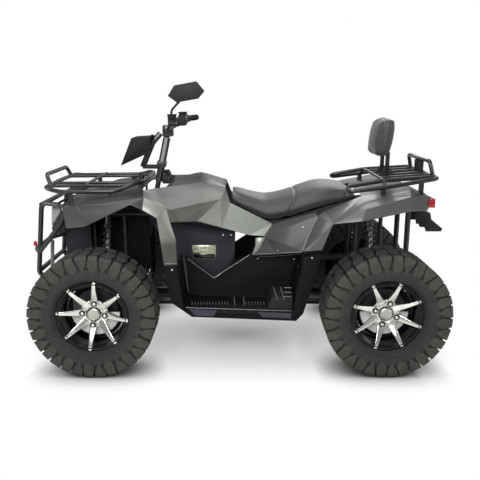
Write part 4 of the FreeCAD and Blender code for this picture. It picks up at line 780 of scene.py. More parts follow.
# Blocks of the tread: rows of station along the outline, first angle, second angle and share of full height
LUG_ROWS = (
    ((3.8, 5.2, 7.0, 0.6), (4.3, 4.0, 8.2, 1.0), (5.2, 1.6, 10.6, 1.0), (6.0, 0.7, 11.9, 1.0),
     (6.6, 0.4, 12.2, 1.0), (7.0, 0.4, 12.0, 1.0), (7.5, 1.2, 11.0, 1.0)),
    ((3.9, 13.0, 20.6, 0.5), (4.5, 11.2, 23.0, 1.0), (5.2, 11.9, 22.9, 1.0), (6.0, 12.8, 22.2, 1.0),
     (6.6, 13.1, 21.9, 1.0), (7.0, 13.1, 21.9, 1.0), (7.5, 13.8, 21.2, 1.0)),
    ((2.9, 16.3, 17.1, 0.5), (3.8, 15.4, 18.0, 0.8)),
    ((2.8, 5.7, 6.5, 0.4), (3.7, 5.0, 7.2, 0.7)),
    ((7.7, 1.8, 12.6, 1.0), (8.3, 0.9, 11.8, 1.0), (8.97, 0.2, 10.6, 1.0)),
    ((7.9, 13.8, 21.6, 1.0), (8.5, 12.8, 21.2, 1.0), (8.97, 11.9, 20.8, 1.0)),
)
RIB_STATIONS = (2.1, 2.5)

# Profiles of turned pieces: place along the axle from the part that carries them, and radius
RIB = ((-0.002, -0.003), (0.0016, -0.0012), (0.0016, 0.0012), (-0.002, 0.003))
WHEEL_DISC = ((0.002, 0.0305), (0.004, 0.036), (0.002, 0.054), (-0.003, 0.069), (-0.015, 0.070), (-0.015, 0.0303))
NUT_BOSS = ((-0.004, 0.0), (0.0105, 0.0), (0.0105, 0.010), (0.012, 0.0115), (0.012, 0.0182), (0.009, 0.0202),
            (-0.004, 0.0210))
NUT_RECESS = ((0.0100, 0.0090), (0.0130, 0.0090), (0.0130, 0.0158), (0.0100, 0.0158))
CAP_GAP = ((0.003, 0.0338), (0.0062, 0.0338), (0.0062, 0.0372), (0.003, 0.0372))
CAP = ((0.0145, 0.0), (0.0155, 0.012), (0.0155, 0.022), (0.017, 0.026), (0.014, 0.031), (0.004, 0.0335),
       (-0.006, 0.0300))
HUB = ((0.0085, 0.0), (0.0085, 0.0298), (0.0, 0.0302), (0.0, 0.063), (-0.010, 0.064), (-0.012, 0.036))
BRAKE_DISC = ((0.004, 0.034), (0.004, 0.072), (0.004, 0.109), (0.003, 0.110), (0.001, 0.110), (0.0, 0.109),
              (0.0, 0.0))
REFLECTION_ARC = ((0.0, 0.041), (0.0025, 0.043), (0.0030, 0.112), (0.0012, 0.120), (-0.0030, 0.122), (-0.0030, 0.119),
          (0.0, 0.110))
BACKING = ((0.0, 0.046), (0.003, 0.047), (0.003, 0.128), (0.010, 0.138), (0.010, 0.141), (-0.001, 0.131))


def carcass(width, rim_width, wheel):
    """Outline of the tyre between its lugs, from the bead to the middle of the tread."""
    rise = wheel.tread_radius - wheel.lug_depth - wheel.bead_radius
    bead = rim_width / 2 - 0.0115
    outline = [(bead, wheel.bead_radius + BEAD_GAP), (bead + 0.004, wheel.flange_radius + 0.001)]
    return outline + [(share * width, wheel.bead_radius + up * rise) for share, up in CARCASS]


def crown(width, outline, wheel):
    """Outline over the tops of the lugs, with a square shoulder."""
    return outline[:3] + [(share * width, up * wheel.tread_radius) for share, up in CROWN]


def along(outline, station):
    """Point of an outline at a station, which counts its points from 0."""
    index = min(int(station), len(outline) - 2)
    part = station - index
    (y_a, r_a), (y_b, r_b) = outline[index], outline[index + 1]
    return y_a + (y_b - y_a) * part, r_a + (r_b - r_a) * part


def lug(name, low, high, rows, hand, shift):
    """One tread block, rooted a little below the carcass."""
    rings = []
    for station, first, second, share in rows:
        first, second = first + shift, second + shift
        (y_low, r_low), (y_high, r_high) = along(low, station), along(high, station)
        root = (y_low - 0.003, r_low - 0.004)
        top = (y_low + (y_high - y_low) * share, r_low + (r_high - r_low) * share)
        taper = min(0.5, 0.16 * (second - first))
        corners = ((root, first), (top, first + taper), (top, second - taper), (root, second))
        rings.append([(radius * math.sin(math.radians(angle)), hand * y, radius * math.cos(math.radians(angle)))
                      for (y, radius), angle in corners])
    return lofted(name, rings)


def tyre(name, width, rim_width, wheel):
    """The carcass with its ribs, the tread lugs, and a darker skin between them that paints shade in the grooves."""
    low = carcass(width, rim_width, wheel)
    high = crown(width, low, wheel)
    seat, inner = wheel.bead_radius + BEAD_GAP, wheel.bead_radius + 0.10
    cavity = [(0.36 * width, inner), (rim_width / 2 - 0.03, seat)]
    walls = [lathe(name, low + flipped(low[:-1]) + flipped(cavity) + cavity, RING_STEPS)]
    walls += [lathe(name, shifted(RIB, *along(low, station)), RING_STEPS) for station in RIB_STATIONS]
    lugs = []
    for hand, shift in ((1, 0.0), (-1, 180.0 / wheel.pitches)):
        lugs += [rounded(lug(name, low, high, rows, hand, shift), 0.0016, 1, 28.0) for rows in LUG_ROWS]
    treads = repeated(joined(name, lugs), name, wheel.pitches)
    # Skin just over the carcass between the lugs, in darker rubber: painted shade in the grooves.
    floor = [along(low, station / 4) for station in range(17, 37)]
    skin, hollow = shifted(floor, 0.0006, 0.0006), shifted(floor, -0.002, -0.002)
    loop = skin + flipped(skin[:-1]) + flipped(hollow[::-1]) + hollow[-2::-1]
    return joined(name, walls), smooth(treads, 24.0), lathe(name, loop, RING_STEPS)


def spoke(name, rim_width, wheel):
    """One spoke, pointing up: wide and curved at the disc, narrow and bright at the flange."""
    half = rim_width / 2
    face = half - wheel.hub_recess
    stations = (
        (0.034, face + 0.001, 0.032, 0.013), (0.056, face + 0.005, 0.041, 0.016),
        (0.075, face + 0.014, 0.034, 0.016), (0.100, face + 0.028, 0.0285, 0.014),
        (0.128, half - 0.010, 0.0215, 0.012), (0.150, half - 0.003, 0.0180, 0.010),
        (0.167, half + 0.0002, 0.0175, 0.006), (0.1765, half + 0.0004, 0.0180, 0.004),
    )
    section = ((-0.5, 1.0), (-0.5, 0.16), (-0.38, 0.0), (0.38, 0.0), (0.5, 0.16), (0.5, 1.0))
    rings = [[(width * across, y - depth * down, radius) for across, down in section]
             for radius, y, width, depth in stations]
    return rounded(lofted(name, rings), 0.0009, 1)


def rim_barrel(name, rim_width, wheel):
    half = rim_width / 2
    lip = half - 0.011
    flange, bead = wheel.flange_radius, wheel.bead_radius
    return lathe(name, [
        (half, flange - 0.004), (half - 0.001, flange), (half - 0.007, flange), (lip, flange - 0.006), (lip, bead),
        (-lip, bead), (-lip, flange - 0.006), (-half + 0.006, flange), (-half, flange), (-half, 0.146),
        (half - 0.035, 0.1465), (half - 0.028, 0.149), (half - 0.012, 0.1495), (half - 0.006, 0.156), (half, 0.162),
    ], RING_STEPS)


def wheel_place(body, side):
    """Takes a model of a left wheel's piece at the origin to its wheel."""
    return Matrix.Translation(AXLES[body]) @ Matrix.Scale(side, 4, (0, 1, 0))


def fit_wheels(end, rows, turn=0.0):
    """Copies to both wheels of an end: rows of model, kind of piece, finish, kind of replaced node, and slot."""
    for side, name in SIDES:
        body = f"wheel_{end}_{name}"
        place = wheel_place(body, side) @ Matrix.Rotation(math.radians(turn), 4, "Y")
        for model, kind, finish, node, slot in rows:
            nodes = [f"{node}_{end}_{name}"] if node else []
            finished(copied(model, f"{kind}_{end}_{name}", place), finish, body, *nodes, slot=slot)
    removed(*(row[0] for row in rows))


class QUAD_OT_tyres(bpy.types.Operator):
    """Models the mud tyres with their shoulder lugs"""
    bl_idname = "quad.tyres"
    bl_label = "Tyres"

    def execute(self, context):
        for end in ENDS:
            low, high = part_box(f"tyre_{end}_left")
            body, treads, groove = tyre(f"tread_{end}", high.y - low.y, RIM_WIDTH[end], context.scene.quad_wheel)
            fit_wheels(end, (
                (body, "sidewall", "sidewall", "tyre", "tyre"),
                (treads, "tread", "rubber", None, "tyre"),
                (groove, "tread_base", "groove", None, "tyre"),
            ))
        return {"FINISHED"}


class QUAD_OT_rims(bpy.types.Operator):
    """Models the spoked rims, wheel nuts and centre caps"""
    bl_idname = "quad.rims"
    bl_label = "Rims"

    def execute(self, context):
        wheel = context.scene.quad_wheel
        outward = Matrix.Translation((0, 0, NUT_CIRCLE))
        for end in ENDS:
            width = RIM_WIDTH[end]
            face = width / 2 - wheel.hub_recess
            star = repeated(spoke("star", width, wheel), "star", wheel.spokes)
            disc = lathe("disc", shifted(WHEEL_DISC, face), 48)
            boss = moved(lathe("boss", shifted(NUT_BOSS, face), 24, closed=False), "boss", outward)
            silver = joined("silver", [star, disc, repeated(boss, "bosses", NUT_COUNT)])
            recess = moved(lathe("recess", shifted(NUT_RECESS, face), 24), "recess", outward)
            gap = lathe("gap", shifted(CAP_GAP, face), 48)
            shell = rim_barrel("barrel", width, wheel)
            barrel = joined("barrel", [shell, repeated(recess, "recess", NUT_COUNT), gap])
            cap = lathe("cap", shifted(CAP, face), 48, closed=False)
            nut = lofted("nut", [[(x, face + reach, NUT_CIRCLE + z) for x, z in circle(NUT_RADIUS, 6)]
                                 for reach in NUT_SPAN])
            nuts = repeated(rounded(nut, 0.001, 1), "nuts", NUT_COUNT)
            fit_wheels(end, (
                (silver, "spokes", "silver", "rim", "rim_alloy"),
                (barrel, "barrel", "barrel", None, "rim_alloy"),
                (nuts, "nuts", "chrome", None, None),
                (cap, "cap", "alloy", None, None),
            ), RIM_TURN[end])
        return {"FINISHED"}


class QUAD_OT_hubs(bpy.types.Operator):
    """Models the hubs, brake discs, half shafts, and pale arcs under the discs that paint the floor's reflection"""
    bl_idname = "quad.hubs"
    bl_label = "Hubs and discs"

    def execute(self, context):
        wheel = context.scene.quad_wheel
        for end in ENDS:
            mount = RIM_WIDTH[end] / 2 - wheel.hub_recess - MOUNT_DEPTH
            inner = mount - ROTOR_DEPTH
            model = lathe("hub", shifted(HUB, mount) + shifted(BRAKE_DISC, inner), 64, closed=False)
            # Pale arc over the lower half of the disc: painted reflection of the floor.
            shield = ring_part("shield", shifted(REFLECTION_ARC, mount - REFLECTION_ARC_DEPTH), math.radians(178), 48)
            backing = lathe("backing", shifted(BACKING, inner - BACKING_DEPTH), 64)
            for side, name in SIDES:
                body = f"wheel_{end}_{name}"
                place = wheel_place(body, side)
                pieces = [copied(model, f"disc_{end}_{name}", place)]
                if end == "rear":
                    pieces.append(self.shaft(body, place))
                disc = joined(f"disc_{end}_{name}", pieces)
                finished(disc, "disc", body, f"hub_{end}_{name}", slot="brake_steel")
                carrier = f"knuckle_{name}" if end == "front" else "chassis"
                finished(copied(shield, f"shield_{end}_{name}", place), "shield", carrier)
                finished(copied(backing, f"backing_{end}_{name}", place), "well", carrier)
            removed(model, shield, backing)
        return {"FINISHED"}

    def shaft(self, body, place):
        """Half shaft with a ribbed boot."""
        inner = SHAFT_START - abs(AXLES[body].y)
        profile = [(inner, 0.0), (inner, 0.026), (inner + 0.02, 0.030)]
        for rib in range(BOOT_RIBS):
            start = inner + 0.022 + rib * 0.016
            profile += [(start, 0.034 - rib * 0.003), (start + 0.008, 0.026 - rib * 0.002)]
        profile += [(inner + 0.11, 0.014), (-0.03, 0.014), (-0.03, 0.0)]
        return moved(lathe("shaft", profile, 32, closed=False), "shaft_placed", place)


# Body panels and castings: finish, slot and the nodes that they are copied from
PANELS = (
    ("fender", "fender_grey", ("front_fender",)),
    ("cowl", "cowl_silver", ("side_cowls",)),
    ("flare", "flare_grey", ("flares",)),
    ("side_panel", "side_panel_grey", ("side_panels",)),
    ("rear_fender", "rear_fender_grey", ("rear_fender",)),
    ("tank", "tank_grey", ("tank_cover",)),
    ("plastic", "panel_dark", ("inner_covers", "front_fascia", "tail_panel")),
    ("well", "panel_dark", ("footwells",)),
    ("trim", "control_black", ("plate_bracket", "instrument_pod", "mirror")),
    ("clear", "lamp_clear", ("headlamps",)),
    ("red", "lamp_red", ("tail_lamps",)),
    ("frame", "frame_black", ("skid_plate",)),
    ("cast", "engine_cast", ("engine", "rear_gearbox")),
    ("exhaust", "damper_steel", ("silencer",)),
    ("cast", "arm_steel", ("knuckle_left", "knuckle_right")),
    ("zinc", "arm_steel", ("tie_rod_left", "tie_rod_right")),
    ("frame", "frame_black", ("steering_column", "frame_crosses", "frame_stays", "frame_posts")),
    ("frame", "arm_steel", ("front_arms", "rear_arms")),
    ("tube", "tube_black", ("backrest_frame",)),
    ("trim", "control_black", ("switch_housings",)),
    ("well", "panel_dark", ("front_liners",)),
    ("cast", "engine_cast", ("radiator",)),
    ("trim", "panel_dark", ("seat_tray",)),
    ("trim", "control_black", ("rack_lamp", "harness_boot")),
)
FOLDS = {"tank_cover": 0.5, "inner_covers": 0.85, "front_fascia": 0.8, "tail_panel": 0.8}
BEVELS = {"front_fender": 0.005, "side_cowls": 0.007, "flares": 0.005, "side_panels": 0.004, "rear_fender": 0.005}


class QUAD_OT_panels(bpy.types.Operator):
    """Models the panels and castings as copies of their nodes, with creased or bevelled folds"""
    bl_idname = "quad.panels"
    bl_label = "Body panels"

    def execute(self, context):
        for finish, slot, nodes in PANELS:
            for node in nodes:
                name = f"{node}_shell"
                if node in FOLDS:
                    piece = creased(name, node, FOLDS[node])
                elif node in BEVELS:
                    piece = softened(name, node, BEVELS[node], 3, 4.0)
                else:
                    piece = softened(name, node)
                finished(piece, finish, BODIES[node], node, slot=slot)
        return {"FINISHED"}


# Tubes

RAIL_BEND = 0.07
BAR_BEND = 0.02
HANDLEBAR_RADIUS = 0.011
HANDLEBAR_BEND = 0.05
CLAMP = ((0.362, -0.03, 1.145), (0.418, 0.03, 1.205))


def cross(name, place, radius):
    """Straight tube from a place to its mirror image."""
    return pipe(name, [at(place), at(place, -1)], radius)


def rack(end, carrier, tube):
    """One rack: bent tubes, with flat straps bolted down to the fender."""
    parts = RACKS[end]
    halves = [pipe("rack", route_of(parts["outline"]), tube.rack, tube.bend)]
    halves += [pipe("rack", route_of(parts["hoop"]), tube.rack, BAR_BEND)]
    halves += [pipe("rack", route_of(bar), tube.bar, BAR_BEND) for bar in parts["bars"]]
    finder = surface_finder(carrier)
    for strap in parts["straps"]:
        x, y, z = at(strap)
        foot = under(finder, x, y, z - 0.012)
        low = foot + 0.0005
        halves.append(block("strap", (x - 0.013, y - 0.003, low), (x + 0.013, y + 0.003, z), 0.0012))
        halves.append(block("strap", (x - 0.015, y - 0.004, low), (x + 0.015, y + 0.026, foot + 0.005), 0.0015))
    pieces = [both("rack_half", joined("rack_half", halves)), cross("rack", parts["cross"], tube.bar)]
    finished(joined(f"{end}_rack_tubes", pieces), "tube", "chassis", f"{end}_rack", slot="tube_black")


class QUAD_OT_tubes(bpy.types.Operator):
    """Models the racks, bumper, frame rails and handlebar as bent tube"""
    bl_idname = "quad.tubes"
    bl_label = "Tubes"

    def execute(self, context):
        tube = context.scene.quad_tube
        rack("front", "front_fender", tube)
        rack("rear", "rear_fender", tube)
        side = pipe("bumper", route_of(BUMPER_SIDE), tube.bumper, tube.bend)
        pieces = [both("bumper", side), pipe("bumper", route_of(BUMPER_NOSE), tube.bumper, tube.bend)]
        pieces += [cross("bumper", place, tube.bumper) for place in BUMPER_CROSSES]
        finished(joined("bumper_tubes", pieces), "tube", "chassis", "front_bumper", slot="tube_black")
        for name, shares in RAILS.items():
            rails = [pipe("rail", route_of(shares, side), tube.frame, RAIL_BEND) for side, hand in SIDES]
            finished(joined(f"{name}_rail_tubes", rails), "frame", "chassis", f"frame_{name}_rails", slot="frame_black")
        bar = both("bar", pipe("bar", route_of(HANDLEBAR), HANDLEBAR_RADIUS, HANDLEBAR_BEND, 6))
        clamp = block("clamp", *CLAMP, 0.006)
        finished(joined("handlebar_tube", [bar, clamp]), "tube", "steering", "handlebar", slot="tube_black")
        return {"FINISHED"}


# Trim. Pixels are places in the photograph.

SCREWS = (
    ("inner_covers", ((223, 235), (231, 235))),
    ("footwells", ((258, 258.5), (294, 259), (298, 266), (172, 270), (312, 258))),
    ("side_panels", ((303, 227), (277.5, 250.5))),
)
SCREW_HEAD = ((-0.15, 1.0), (0.15, 1.0), (0.34, 0.86), (0.44, 0.55), (0.36, 0.30), (0.12, 0.26))
SCREW_RADIUS = 0.0046
WEDGE = ((255.5, 238.0), (265.6, 237.2), (260.0, 248.5), (254.6, 254.8), (252.0, 254.4), (255.2, 246.0))
REFLECTOR = ((0.0, 0.0), (0.0, 0.009), (0.003, 0.010), (0.006, 0.008), (0.0075, 0.0))
NOSE_POST = ((52.5, 240, 0.17), (52.5, 268, 0.17))
PLATE_ROWS = ((0.72, 0.93), (0.47, 0.64))
PLATE_COLUMNS = ((0.04, 0.33), (0.36, 0.66), (0.69, 0.95))
EDGE_LIFT = 0.0006
EDGE_SPACING = 0.004

# Painted highlights on the edges of the panels, as light grey beads: node, radius and the pixels that they run through
EDGE_HIGHLIGHTS = (
    ("footwells", 0.0018, ((187.5, 258.5), (214, 278), (249, 255))),
    ("footwells", 0.0016, ((259, 256.6), (279, 255.8), (301, 254.2))),
    ("flares", 0.0022, ((165.4, 263.6), (176.6, 263.4))),
    ("side_panels", 0.0018, ((256, 254.2), (302, 252.0))),
    ("side_panels", 0.0016, ((317.5, 217), (309, 235), (302.5, 250))),
)


class QUAD_OT_trim(bpy.types.Operator):
    """Models the edge beads of painted highlight, screws, wedges, reflectors and the blank label plate"""
    bl_idname = "quad.trim"
    bl_label = "Trim and screws"

    def execute(self, context):
        finders = {node: surface_finder(node) for node in ("inner_covers", "footwells", "side_panels", "flares")}
        self.screws(finders)
        self.label(finders["inner_covers"])
        depth = on_node(finders["side_panels"], 266.0, 240.0)[0].y
        # The wedges take the cowl paint's lightened tail tone: painted highlight.
        wedge = lofted("wedge", [[seen(u, v, y) for u, v in WEDGE] for y in (depth - 0.004, depth + 0.003)])
        finished(both("cowl_wedges", rounded(wedge, 0.001, 1)), "cowl", "chassis")
        posts = pipe("nose_posts", [seen(*place) for place in NOSE_POST], 0.010, around=3)
        finished(both("nose_posts", posts), "bead", "chassis")
        place = seen(36.5, 243, 0.27)
        oval = Matrix.Translation((place.x, 0.282, place.z)) @ Matrix.Scale(1.5, 4, (0, 0, 1))
        reflector = moved(lathe("reflector", REFLECTOR, 24, closed=False), "pair", oval)
        finished(both("reflectors", reflector), "red", "chassis")
        self.edges(finders)
        return {"FINISHED"}

    def screws(self, finders):
        """Screw heads on both sides of the panels."""
        places = [on_node(finders[node], u, v) for node, pixels in SCREWS for u, v in pixels]
        places += [(Vector((p.x, -p.y, p.z)), Vector((n.x, -n.y, n.z))) for p, n in places]
        head = smooth(lofted("screw_head", [[(x, y, SCREW_RADIUS * rise) for x, y in circle(SCREW_RADIUS * share, 12)]
                                            for rise, share in SCREW_HEAD]), 30.0)
        heads = [aimed(head, "panel_screws", place, direction) for place, direction in places]
        removed(head)
        finished(joined("panel_screws", heads), "alloy", "chassis")

    def label(self, finder):
        """Blank plate on the inner cover: a bright frame round plain bands."""
        low, high = on_node(finder, 216, 259)[0], on_node(finder, 192, 245)[0]
        y = max(low.y, high.y)

        def field(name, columns, rows, back, front, edge):
            x, z = ([start + share * (stop - start) for share in shares]
                    for start, stop, shares in ((low.x, high.x, columns), (low.z, high.z, rows)))
            return block(name, (x[0], y + back, z[0]), (x[1], y + front, z[1]), edge, 1)

        finished(field("label_plate", (0, 1), (0, 1), -0.002, 0.0022, 0.0008), "alloy", "chassis")
        bands = [field("band", columns, rows, 0.0018, 0.0032, 0.0004)
                 for rows in PLATE_ROWS for columns in PLATE_COLUMNS]
        finished(joined("label_bands", bands), "band", "chassis")
        finished(field("label_field", (0.05, 0.94), (0.09, 0.38), 0.0018, 0.0030, 0.0004), "screen", "chassis")

    def edges(self, finders):
        """Light beads along the edges of the panels, on both sides: painted highlights where the edges catch the light.
        """
        pieces = []
        for node, radius, pixels in EDGE_HIGHLIGHTS:
            points = []
            for (u_a, v_a), (u_b, v_b) in zip(pixels, pixels[1:]):
                for step in range(4):
                    place, normal = on_node(finders[node], u_a + (u_b - u_a) * step / 3, v_a + (v_b - v_a) * step / 3)
                    place = place + normal * EDGE_LIFT
                    if not points or (place - points[-1]).length > EDGE_SPACING:
                        points.append(place)
            pieces.append(pipe("edge", points, radius, around=2))
        paired("edge_beads", pieces, "bead", "chassis")


# Footboards

TREAD_COUNT = 15
TREAD_SPACING = 0.024
TREAD_START = 0.215
TREAD_LINE = 0.45  # distance from the middle plane at which the floor's height is taken
RAY_START = 0.50  # height above the footwell's floor from which its height is taken
CLEATS = (-0.012, 0.030)
HEEL_BACK = -0.262
HEEL_INNER = 0.300
HEEL_RIDGES = (-0.176, -0.196, -0.216, -0.236)
HEEL_LEVELS = ((-0.128, 0.508, 0.0), (-0.140, 0.506, 0.050), (-0.160, 0.502, 0.086))
SILLS = (
    ((188.5, 309.0), (217.0, 310.0), (213.5, 316.3), (195.5, 315.6)),
    ((257.0, 311.8), (291.5, 313.2), (290.8, 318.4), (263.0, 317.0)),
)
SHADE_PLANES = (0.150, 0.156)

# Small upright dark sheets that close the view through the machine, partly painted shade: pixel, depth, and reach back
# and ahead
SMALL_SHADES = ((155.5, 219.5, 0.086, 0.024, 0.040), (179.0, 257.0, 0.205, 0.012, 0.030))


class QUAD_OT_footboards(bpy.types.Operator):
    """Models the treads, cleats and heel steps of the footwells, and the shades between them"""
    bl_idname = "quad.footboards"
    bl_label = "Footboards"

    def execute(self, context):
        finder = surface_finder("footwells")
        self.treads(finder)
        self.shades()
        self.steps(under(finder, -0.19, TREAD_LINE, RAY_START))
        self.sills()
        return {"FINISHED"}

    def treads(self, finder):
        """Board with cross ribs and two cleats."""
        pieces = []
        for index in range(TREAD_COUNT):
            x = TREAD_START - index * TREAD_SPACING
            z = under(finder, x, TREAD_LINE, RAY_START)
            pieces.append(block("rib", (x - 0.0042, 0.395, z - 0.001), (x + 0.0042, 0.506, z + 0.0065), 0.0014, 1))
        base = under(finder, 0.05, TREAD_LINE, RAY_START)
        pieces.append(block("board", (-0.150, 0.388, base - 0.004), (0.236, 0.511, base + 0.0028), 0.002, 1))
        for x in CLEATS:
            cleat = [level((x - 0.0022, inner), (x + 0.0022, outer), z)
                     for inner, outer, z in ((0.470, 0.506, base), (0.476, 0.500, base + 0.030))]
            pieces.append(rounded(lofted("cleat", cleat), 0.001, 1))
        paired("footboard_treads", pieces, "skirt", "chassis")

    def shades(self):
        """Dark sheets in the bay and behind the side panels, that stand for the dark parts and shade seen there: partly
        painted shade.
        """
        def sheet(side, *ends):
            inner, outer = (side * y for y in SHADE_PLANES)
            return lofted("shade", [[(x, inner, low), (x, outer, low), (x, outer, high), (x, inner, high)]
                                    for x, low, high in ends])

        shades = [block("shade", (0.450, -0.088, 0.700), (0.700, 0.088, 0.772), 0.004, 1)]
        shades += [sheet(side, (0.800, 0.440, 0.700), (0.938, 0.520, 0.690)) for side in (-1, 1)]
        for u, v, y, back, ahead in SMALL_SHADES:
            x, y, z = seen(u, v, y)
            shades += [block("shade", (x - back, side * y - 0.003, z - 0.030), (x + ahead, side * y + 0.003, z + 0.030),
                             0.001, 1) for side in (-1, 1)]
        x, y, z = seen(351, 199, 0.16)
        ahead, back = (x + 0.060, z - 0.040, z + 0.012), (x - 0.055, z - 0.020, z + 0.022)
        shades += [sheet(side, ahead, back) for side in (-1, 1)]
        finished(joined("bay_shades", shades), "plastic", "chassis")

    def steps(self, floor):
        """Raised heel step with ridges on top."""
        rings = [level((HEEL_BACK, HEEL_INNER), (front, outer), floor + rise) for front, outer, rise in HEEL_LEVELS]
        pieces = [rounded(lofted("heel_step", rings), 0.006, 2, 20.0)]
        for x in HEEL_RIDGES:
            low, high = (x - 0.0035, 0.320, floor + 0.084), (x + 0.0035, 0.486, floor + 0.0915)
            pieces.append(block("ridge", low, high, 0.0014, 1))
        paired("heel_steps", pieces, "skirt", "chassis")

    def sills(self):
        """Plates and bright bars on the outer face of the footwell."""
        rows = [((u, 287.0, 0.504), (u + 4.0, 300, 0.506), 0.0030, 3) for u in (273.5, 280.5)]
        rows += [((284.0, v, 0.504), (291.5, v + 0.3, 0.504), 0.0022, 2) for v in (287.5, 292.0, 296.5)]
        rows += [((186.0, 307.6, 0.514), (291.5, 311.0, 0.514), 0.0020, 2)]
        rows += [((u, 301.6, 0.508), (u, 304.6, 0.508), 0.0016, 2) for u in range(192, 265, 3) if abs(u - 238) > 7]
        rows += [((u, 297.0, 0.507), (u + 0.8, 305.0, 0.507), 0.0024, 2) for u in (234.0, 243.5)]
        bars = [pipe("bar", [seen(*start), seen(*end)], radius, around=around) for start, end, radius, around in rows]
        sills = [lofted("sill", [[seen(u, v, y) for u, v in outline] for y in (0.5135, 0.5165)]) for outline in SILLS]
        paired("sill_plates", sills, "sill", "chassis")
        paired("tread_edges", bars, "zinc", "chassis")


# Dampers

COIL_TURNS = 9
COIL_RADIUS = 0.0235
WIRE_RADIUS = 0.0048

# Profile of a damper: share of its length and radius
DAMPER = (
    (0.0, 0.0), (0.0, 0.009), (0.22, 0.009), (0.22, 0.026), (0.245, 0.027), (0.25, 0.013), (0.84, 0.016),
    (0.85, 0.028), (0.875, 0.027), (0.88, 0.018), (0.99, 0.014), (1.0, 0.0),
)


class QUAD_OT_shocks(bpy.types.Operator):
    """Models the dampers with their coil springs"""
    bl_idname = "quad.shocks"
    bl_label = "Dampers"

    def execute(self, context):
        upright = Matrix.Rotation(math.pi / 2, 4, "X")
        for end in ENDS:
            springs, dampers = [], []
            for side, name in SIDES:
                top, foot = route_of(SHOCKS[end], side)
                length = (foot - top).length
                place = Matrix.Translation(foot) @ turn_between((0, 0, 1), top - foot)
                coil = moved(self.coil(length * 0.60), "coil", place @ Matrix.Translation((0, 0, length * 0.245)))
                springs.append(smooth(coil, 60))
                damper = lathe("damper", [(length * share, radius) for share, radius in DAMPER], 24, closed=False)
                dampers.append(moved(damper, "damper_placed", place @ upright))
            springs = joined(f"{end}_springs", springs)
            finished(springs, "spring", "chassis", f"{end}_shocks", slot="damper_steel")
            finished(joined(f"{end}_damper_bodies", dampers), "zinc", "chassis", slot="damper_steel")
        return {"FINISHED"}

    def coil(self, length):
        """Wire wound up the Z axis."""
        deselect()
        bpy.ops.mesh.primitive_circle_add(
            vertices=10, radius=WIRE_RADIUS, location=(COIL_RADIUS, 0, 0), rotation=(math.pi / 2, 0, 0))
        bpy.ops.object.transform_apply(location=True, rotation=True, scale=True)
        return modify(
            bpy.context.object, "SCREW", angle=TWO_PI, screw_offset=length / COIL_TURNS, iterations=COIL_TURNS,
            steps=24, render_steps=24, use_merge_vertices=True)


# Seat

CLOTH = {
    "quality": 5, "use_pressure": True, "uniform_pressure_force": 4.0, "tension_stiffness": 12.0,
    "bending_stiffness": 4.0,
}
CLOTH_FRAMES = 20

# Seams of the seat: a point and the normal of each one's plane
SEAMS = (((-0.285, 0.0, 0.83), (1.0, 0.0, 0.42)), ((-0.555, 0.0, 0.86), (1.0, 0.0, 0.30)))


def padded(name, node, voxel, shrink, cap, levels=1):
    """Cushion swollen as cloth: remeshed, blown up under pressure, and held near its start."""
    piece = softened(name, node, 0.010, 3, 20.0)
    modify(piece, "SUBSURF", levels=levels, render_levels=levels)
    piece.data.remesh_voxel_size = voxel * 1.0
    only(piece)
    bpy.ops.object.voxel_remesh()
    with editing(piece):
        bpy.ops.mesh.vertices_smooth(factor=0.5, repeat=6)
        bpy.ops.transform.shrink_fatten(value=-shrink)
    swell(piece, cap)
    with editing(piece):
        bpy.ops.mesh.vertices_smooth(factor=0.5, repeat=3)
    return smooth(piece, 180.0)


def swell(piece, cap):
    """Blows a mesh up as cloth; no vertex moves further than the cap."""
    start = [vertex.co.copy() for vertex in piece.data.vertices]
    only(piece)
    cloth = piece.modifiers.new("Cloth", "CLOTH")
    for name, value in CLOTH.items():
        setattr(cloth.settings, name, value)
    cloth.settings.effector_weights.gravity = 0.0
    for number in range(1, CLOTH_FRAMES + 1):
        bpy.context.scene.frame_set(number)
    bpy.ops.object.modifier_apply(modifier=cloth.name)
    bpy.context.scene.frame_set(1)
    for vertex, place in zip(piece.data.vertices, start):
        move = vertex.co - place
        vertex.co = place + move * min(1.0, cap / max(move.length, 1e-9))


def channelled(piece, planes, width, depth):
    """Sinks sewn channels where planes (point, normal) cross a cushion."""
    for vertex in piece.data.vertices:
        for point, normal in planes:
            gap = abs((vertex.co - Vector(point)).dot(Vector(normal).normalized()))
            if gap < width:
                vertex.co = vertex.co - vertex.normal * depth * (1.0 - gap / width) ** 1.5
    piece.data.update()


class QUAD_OT_seat(bpy.types.Operator):
    """Models the seat and the backrest pad"""
    bl_idname = "quad.seat"
    bl_label = "Seat"

    def execute(self, context):
        seat = padded("seat_cushion", "seat", 0.0065, 0.005, 0.008)
        channelled(seat, SEAMS, 0.011, 0.0065)
        finished(seat, "vinyl", "chassis", "seat", slot="seat_vinyl")
        pad = padded("backrest_cushion", "backrest_pad", 0.005, 0.009, 0.016, 2)
        low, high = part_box("backrest_pad")
        middle = (Vector(low) + Vector(high)) / 2
        channelled(pad, [(middle + Vector((0.012, 0, 0)), (1.0, 0.0, 0.10))], 0.006, 0.004)
        finished(pad, "vinyl", "chassis", "backrest_pad", slot="seat_vinyl")
        return {"FINISHED"}


# Controls. Boxes on the handlebar: two corners, edge, and distance from the bar's end.

